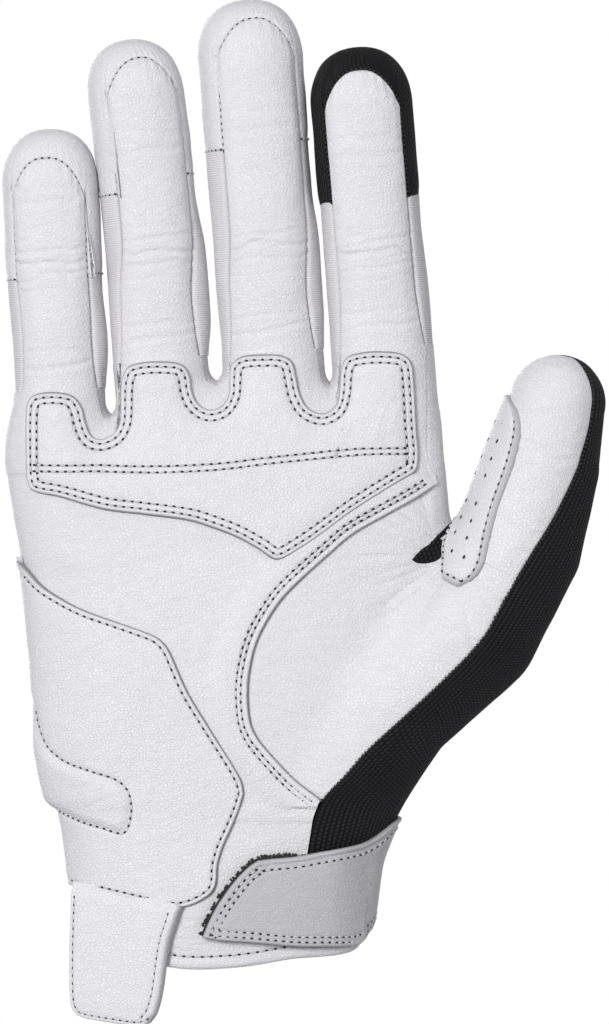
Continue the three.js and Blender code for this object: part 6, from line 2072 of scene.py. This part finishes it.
def makeTab():
    us = spaced(27.0, 80 if fine else 40, edgeSteps, edgeSteps)
    vs = spaced(34.0, 100 if fine else 50, edgeSteps, ())
    lines = {side: smoothLine(points, 0.4) for side, points in tabOutline.items()}
    grid = between(lines["low"], lines["right"], lines["top"], lines["left"], us, vs)
    x, z = grid[..., 0], grid[..., 1]
    height, _ = tabHeight(x, z)
    sink = 1.1 * smoothStep(z + 0.17 * (x + 27), 11.5, 15.5)
    outer, _ = tabPlace(x, z, height - sink)
    inner, _ = tabPlace(x, z, np.full(x.shape, -tab["thickness"]))
    right = lineDistance(x, z, smoothLine(tabOutline["right"], 0.6))[0]
    piece = shellObject("pullTab", outer, inner, values={"cutEdgeAndShade": 0.6 * (1 - smoothStep(right, 0.15, 1.1))})
    finish(piece, "white", "tab", ["pull_tab"])
    parts = []
    paths = [(lines["left"], -1, 1.0), (lines["low"], 1, 1.0), (lines["right"], 1, 2.3)]
    for line, turn, at in paths:
        path = line - at * turn * smoothedNormals(line)
        path = path[(path[:, 1] < 11.5 - 0.17 * (path[:, 0] + 27))]
        height, _ = tabHeight(path[:, 0], path[:, 1])
        laid, up = tabPlace(path[:, 0], path[:, 1], height + 0.02)
        parts += stitchParts(laid, up, 1.9)
    finish(piecesObject("tabStitches", parts), "thread", "tab")


makeTab()
print("pull tab made")

# ---- lining

lining = {"low": 14.0, "high": 97.6, "outer": -2.1, "inner": -2.9}


# A closed shell over the cells of a grid that are kept, joined round its first and last column.
def maskedShell(name, outer, inner, keep):
    rows, columns = outer.shape[:2]
    count = rows * columns
    i, j = np.nonzero(keep)
    k = (j + 1) % columns
    index = np.arange(count).reshape(rows, columns)
    quads = np.stack([index[i, j], index[i, k], index[i + 1, k], index[i + 1, j]], -1)
    pairs = np.concatenate([np.stack([quads[:, a], quads[:, (a + 1) % 4]], -1) for a in range(4)])
    border = pairs[~np.isin(pairs[:, 0] * count + pairs[:, 1], pairs[:, 1] * count + pairs[:, 0])]
    rim = np.stack([border[:, 1], border[:, 0], border[:, 0] + count, border[:, 1] + count], -1)
    faces = np.concatenate([quads, quads[:, ::-1] + count, rim])
    used, faces = np.unique(faces, return_inverse=True)
    faces = faces.reshape(-1, 4)
    points = np.concatenate([outer.reshape(-1, 3), inner.reshape(-1, 3)])[used] * millimetre
    mesh = bpy.data.meshes.new(name)
    mesh.from_pydata(points.tolist(), [], faces.tolist())
    uvs = np.stack([faces % columns, faces // columns], -1) * 0.06
    mesh.uv_layers.new(name="cloth").data.foreach_set("uv", uvs.astype(np.float32).ravel())
    mesh.validate()
    mesh.shade_smooth()
    piece = bpy.data.objects.new(name, mesh)
    bpy.context.collection.objects.link(piece)
    return piece


def makeLining():
    angles = np.linspace(0, 360, 181 if fine else 91)[:-1]
    levels = np.linspace(lining["low"], lining["high"], 90 if fine else 46)
    degrees, z = np.meshgrid(angles, levels)
    base = edgeOfSkin(degrees, z)
    normals = outward(handField, base, upwards)
    shift = 0.12 * noiseAt(base, 8, 91)
    outer = base + (lining["outer"] + shift)[..., None] * normals
    inner = base + (lining["inner"] + shift)[..., None] * normals
    middle = (base[:-1] + base[1:] + np.roll(base, -1, 1)[:-1] + np.roll(base, -1, 1)[1:]) / 4
    keep = thumbField(middle) > -1.5
    piece = maskedShell("innerLining", outer, inner, keep)
    finish(piece, "lining", "hand", ["lining"])


makeLining()
print("lining made")

# ---- knuckle guard on the back of the hand

guard = {"height": 16.0, "from": -0.45, "to": 0.43, "end": 0.35, "low": 0.7, "high": 2.3, "bulge": 2.6, "channel": 0.7}
guardMiddle = [[-0.45, 0.765], [-0.2, 0.815], [0.1, 0.835], [0.43, 0.815]]
guardSeams = [-0.45, -0.225, 0.015, 0.245, 0.43]


# Swells a closed shell by simulated cloth under pressure, on a copy ten times as large, and
# gives the outer points back with their moves capped.
def inflated(outer, inner, held, pressure, cap):
    grow = 10.0
    copy = shellObject("inflating", outer * grow, inner * grow, values={"cutEdgeAndShade": 0 * held})
    group = copy.vertex_groups.new(name="held")
    count = outer.shape[0] * outer.shape[1]
    group.add([int(k) for k in np.nonzero(held.ravel() > 0.5)[0]] + list(range(count, 2 * count)), 1.0, "REPLACE")
    cloth = copy.modifiers.new("cloth", "CLOTH")
    settings = cloth.settings
    settings.quality = 5
    settings.mass = 0.3
    settings.tension_stiffness = settings.compression_stiffness = 12
    settings.shear_stiffness = 4
    settings.bending_stiffness = 0.4
    settings.use_pressure = True
    settings.uniform_pressure_force = pressure
    settings.shrink_min = -0.12
    settings.vertex_group_mass = "held"
    settings.effector_weights.gravity = 0
    cloth.collision_settings.use_collision = False
    cloth.point_cache.frame_start, cloth.point_cache.frame_end = 1, 20
    for frame in range(1, 21):
        bpy.context.scene.frame_set(frame)
    evaluated = copy.evaluated_get(bpy.context.evaluated_depsgraph_get())
    moved = np.empty(len(evaluated.data.vertices) * 3)
    evaluated.data.vertices.foreach_get("co", moved)
    moved = moved.reshape(-1, 3)[:count].reshape(outer.shape) / (millimetre * grow)
    bpy.data.objects.remove(copy)
    bpy.context.scene.frame_set(1)
    step = moved - outer
    length = np.linalg.norm(step, axis=-1, keepdims=True)
    return outer + step * np.minimum(1, cap / np.maximum(length, 1e-9))


# A grid with points added between its rows and columns, on a smooth curve through them.
def refined(grid, times):
    rows, columns = grid.shape[:2]
    for axis, count in ((0, rows), (1, columns)):
        old, new = np.arange(count), np.linspace(0, count - 1, (count - 1) * times + 1)
        grid = np.moveaxis(grid, axis, 0)
        flat = grid.reshape(count, -1)
        dense = np.stack([tableAt(np.c_[old, flat[:, k]], new) for k in range(flat.shape[1])], -1)
        grid = np.moveaxis(dense.reshape((len(new),) + grid.shape[1:]), 0, axis)
    return grid


def makeGuard():
    columns, rows = (133, 27) if fine else (67, 13)
    shares = np.linspace(guard["from"], guard["to"], columns)[None]
    middle = (guard["from"] + guard["to"]) / 2
    ends = 1 - guard["end"] * np.abs((shares - middle) / (guard["to"] - middle)) ** 4
    ups = np.linspace(-0.5, 0.5, rows)[:, None]
    z = hand["length"] * tableAt(guardMiddle, shares) + guard["height"] * ends * ups
    x = hand["span"] * shares + 0 * z
    base = skinSeen(-1, x, z)
    normals = outward(gloveField, base)
    seam = np.min([np.abs(x - hand["span"] * at) for at in guardSeams], axis=0)
    across = np.sin(math.pi * (ups + 0.5)) ** 0.6 + 0 * x
    along = smoothStep(seam, 0.4, 8) ** 0.7
    swell = guard["bulge"] * across * along
    outerLevel = guard["high"] - 0.7 + (0.3 if fine else 1.0) * swell
    outer = base + outerLevel[..., None] * normals
    inner = base + guard["low"] * normals
    held = (seam < 0.75) | (np.abs(ups) > 0.46)
    outer = inflated(outer, inner, held.astype(float), guard["pressure"], 2.4)
    outer, inner = refined(outer, 3 if fine else 2), refined(inner, 3 if fine else 2)
    border = borderDistance(outer, "lrbt")
    normals = gridNormals(outer)
    outer = outer + (rolled(border, 0.9, 0.8) - 0.25 * np.exp(-((border - 1.6) / 0.4) ** 2))[..., None] * normals
    piece = shellObject("knuckleGuard", outer, inner, values={"cutEdgeAndShade": 0 * border})
    finish(piece, "guard", "hand", ["knuckle_guard"])


guard["pressure"] = 8.0
makeGuard()
print("knuckle guard made")
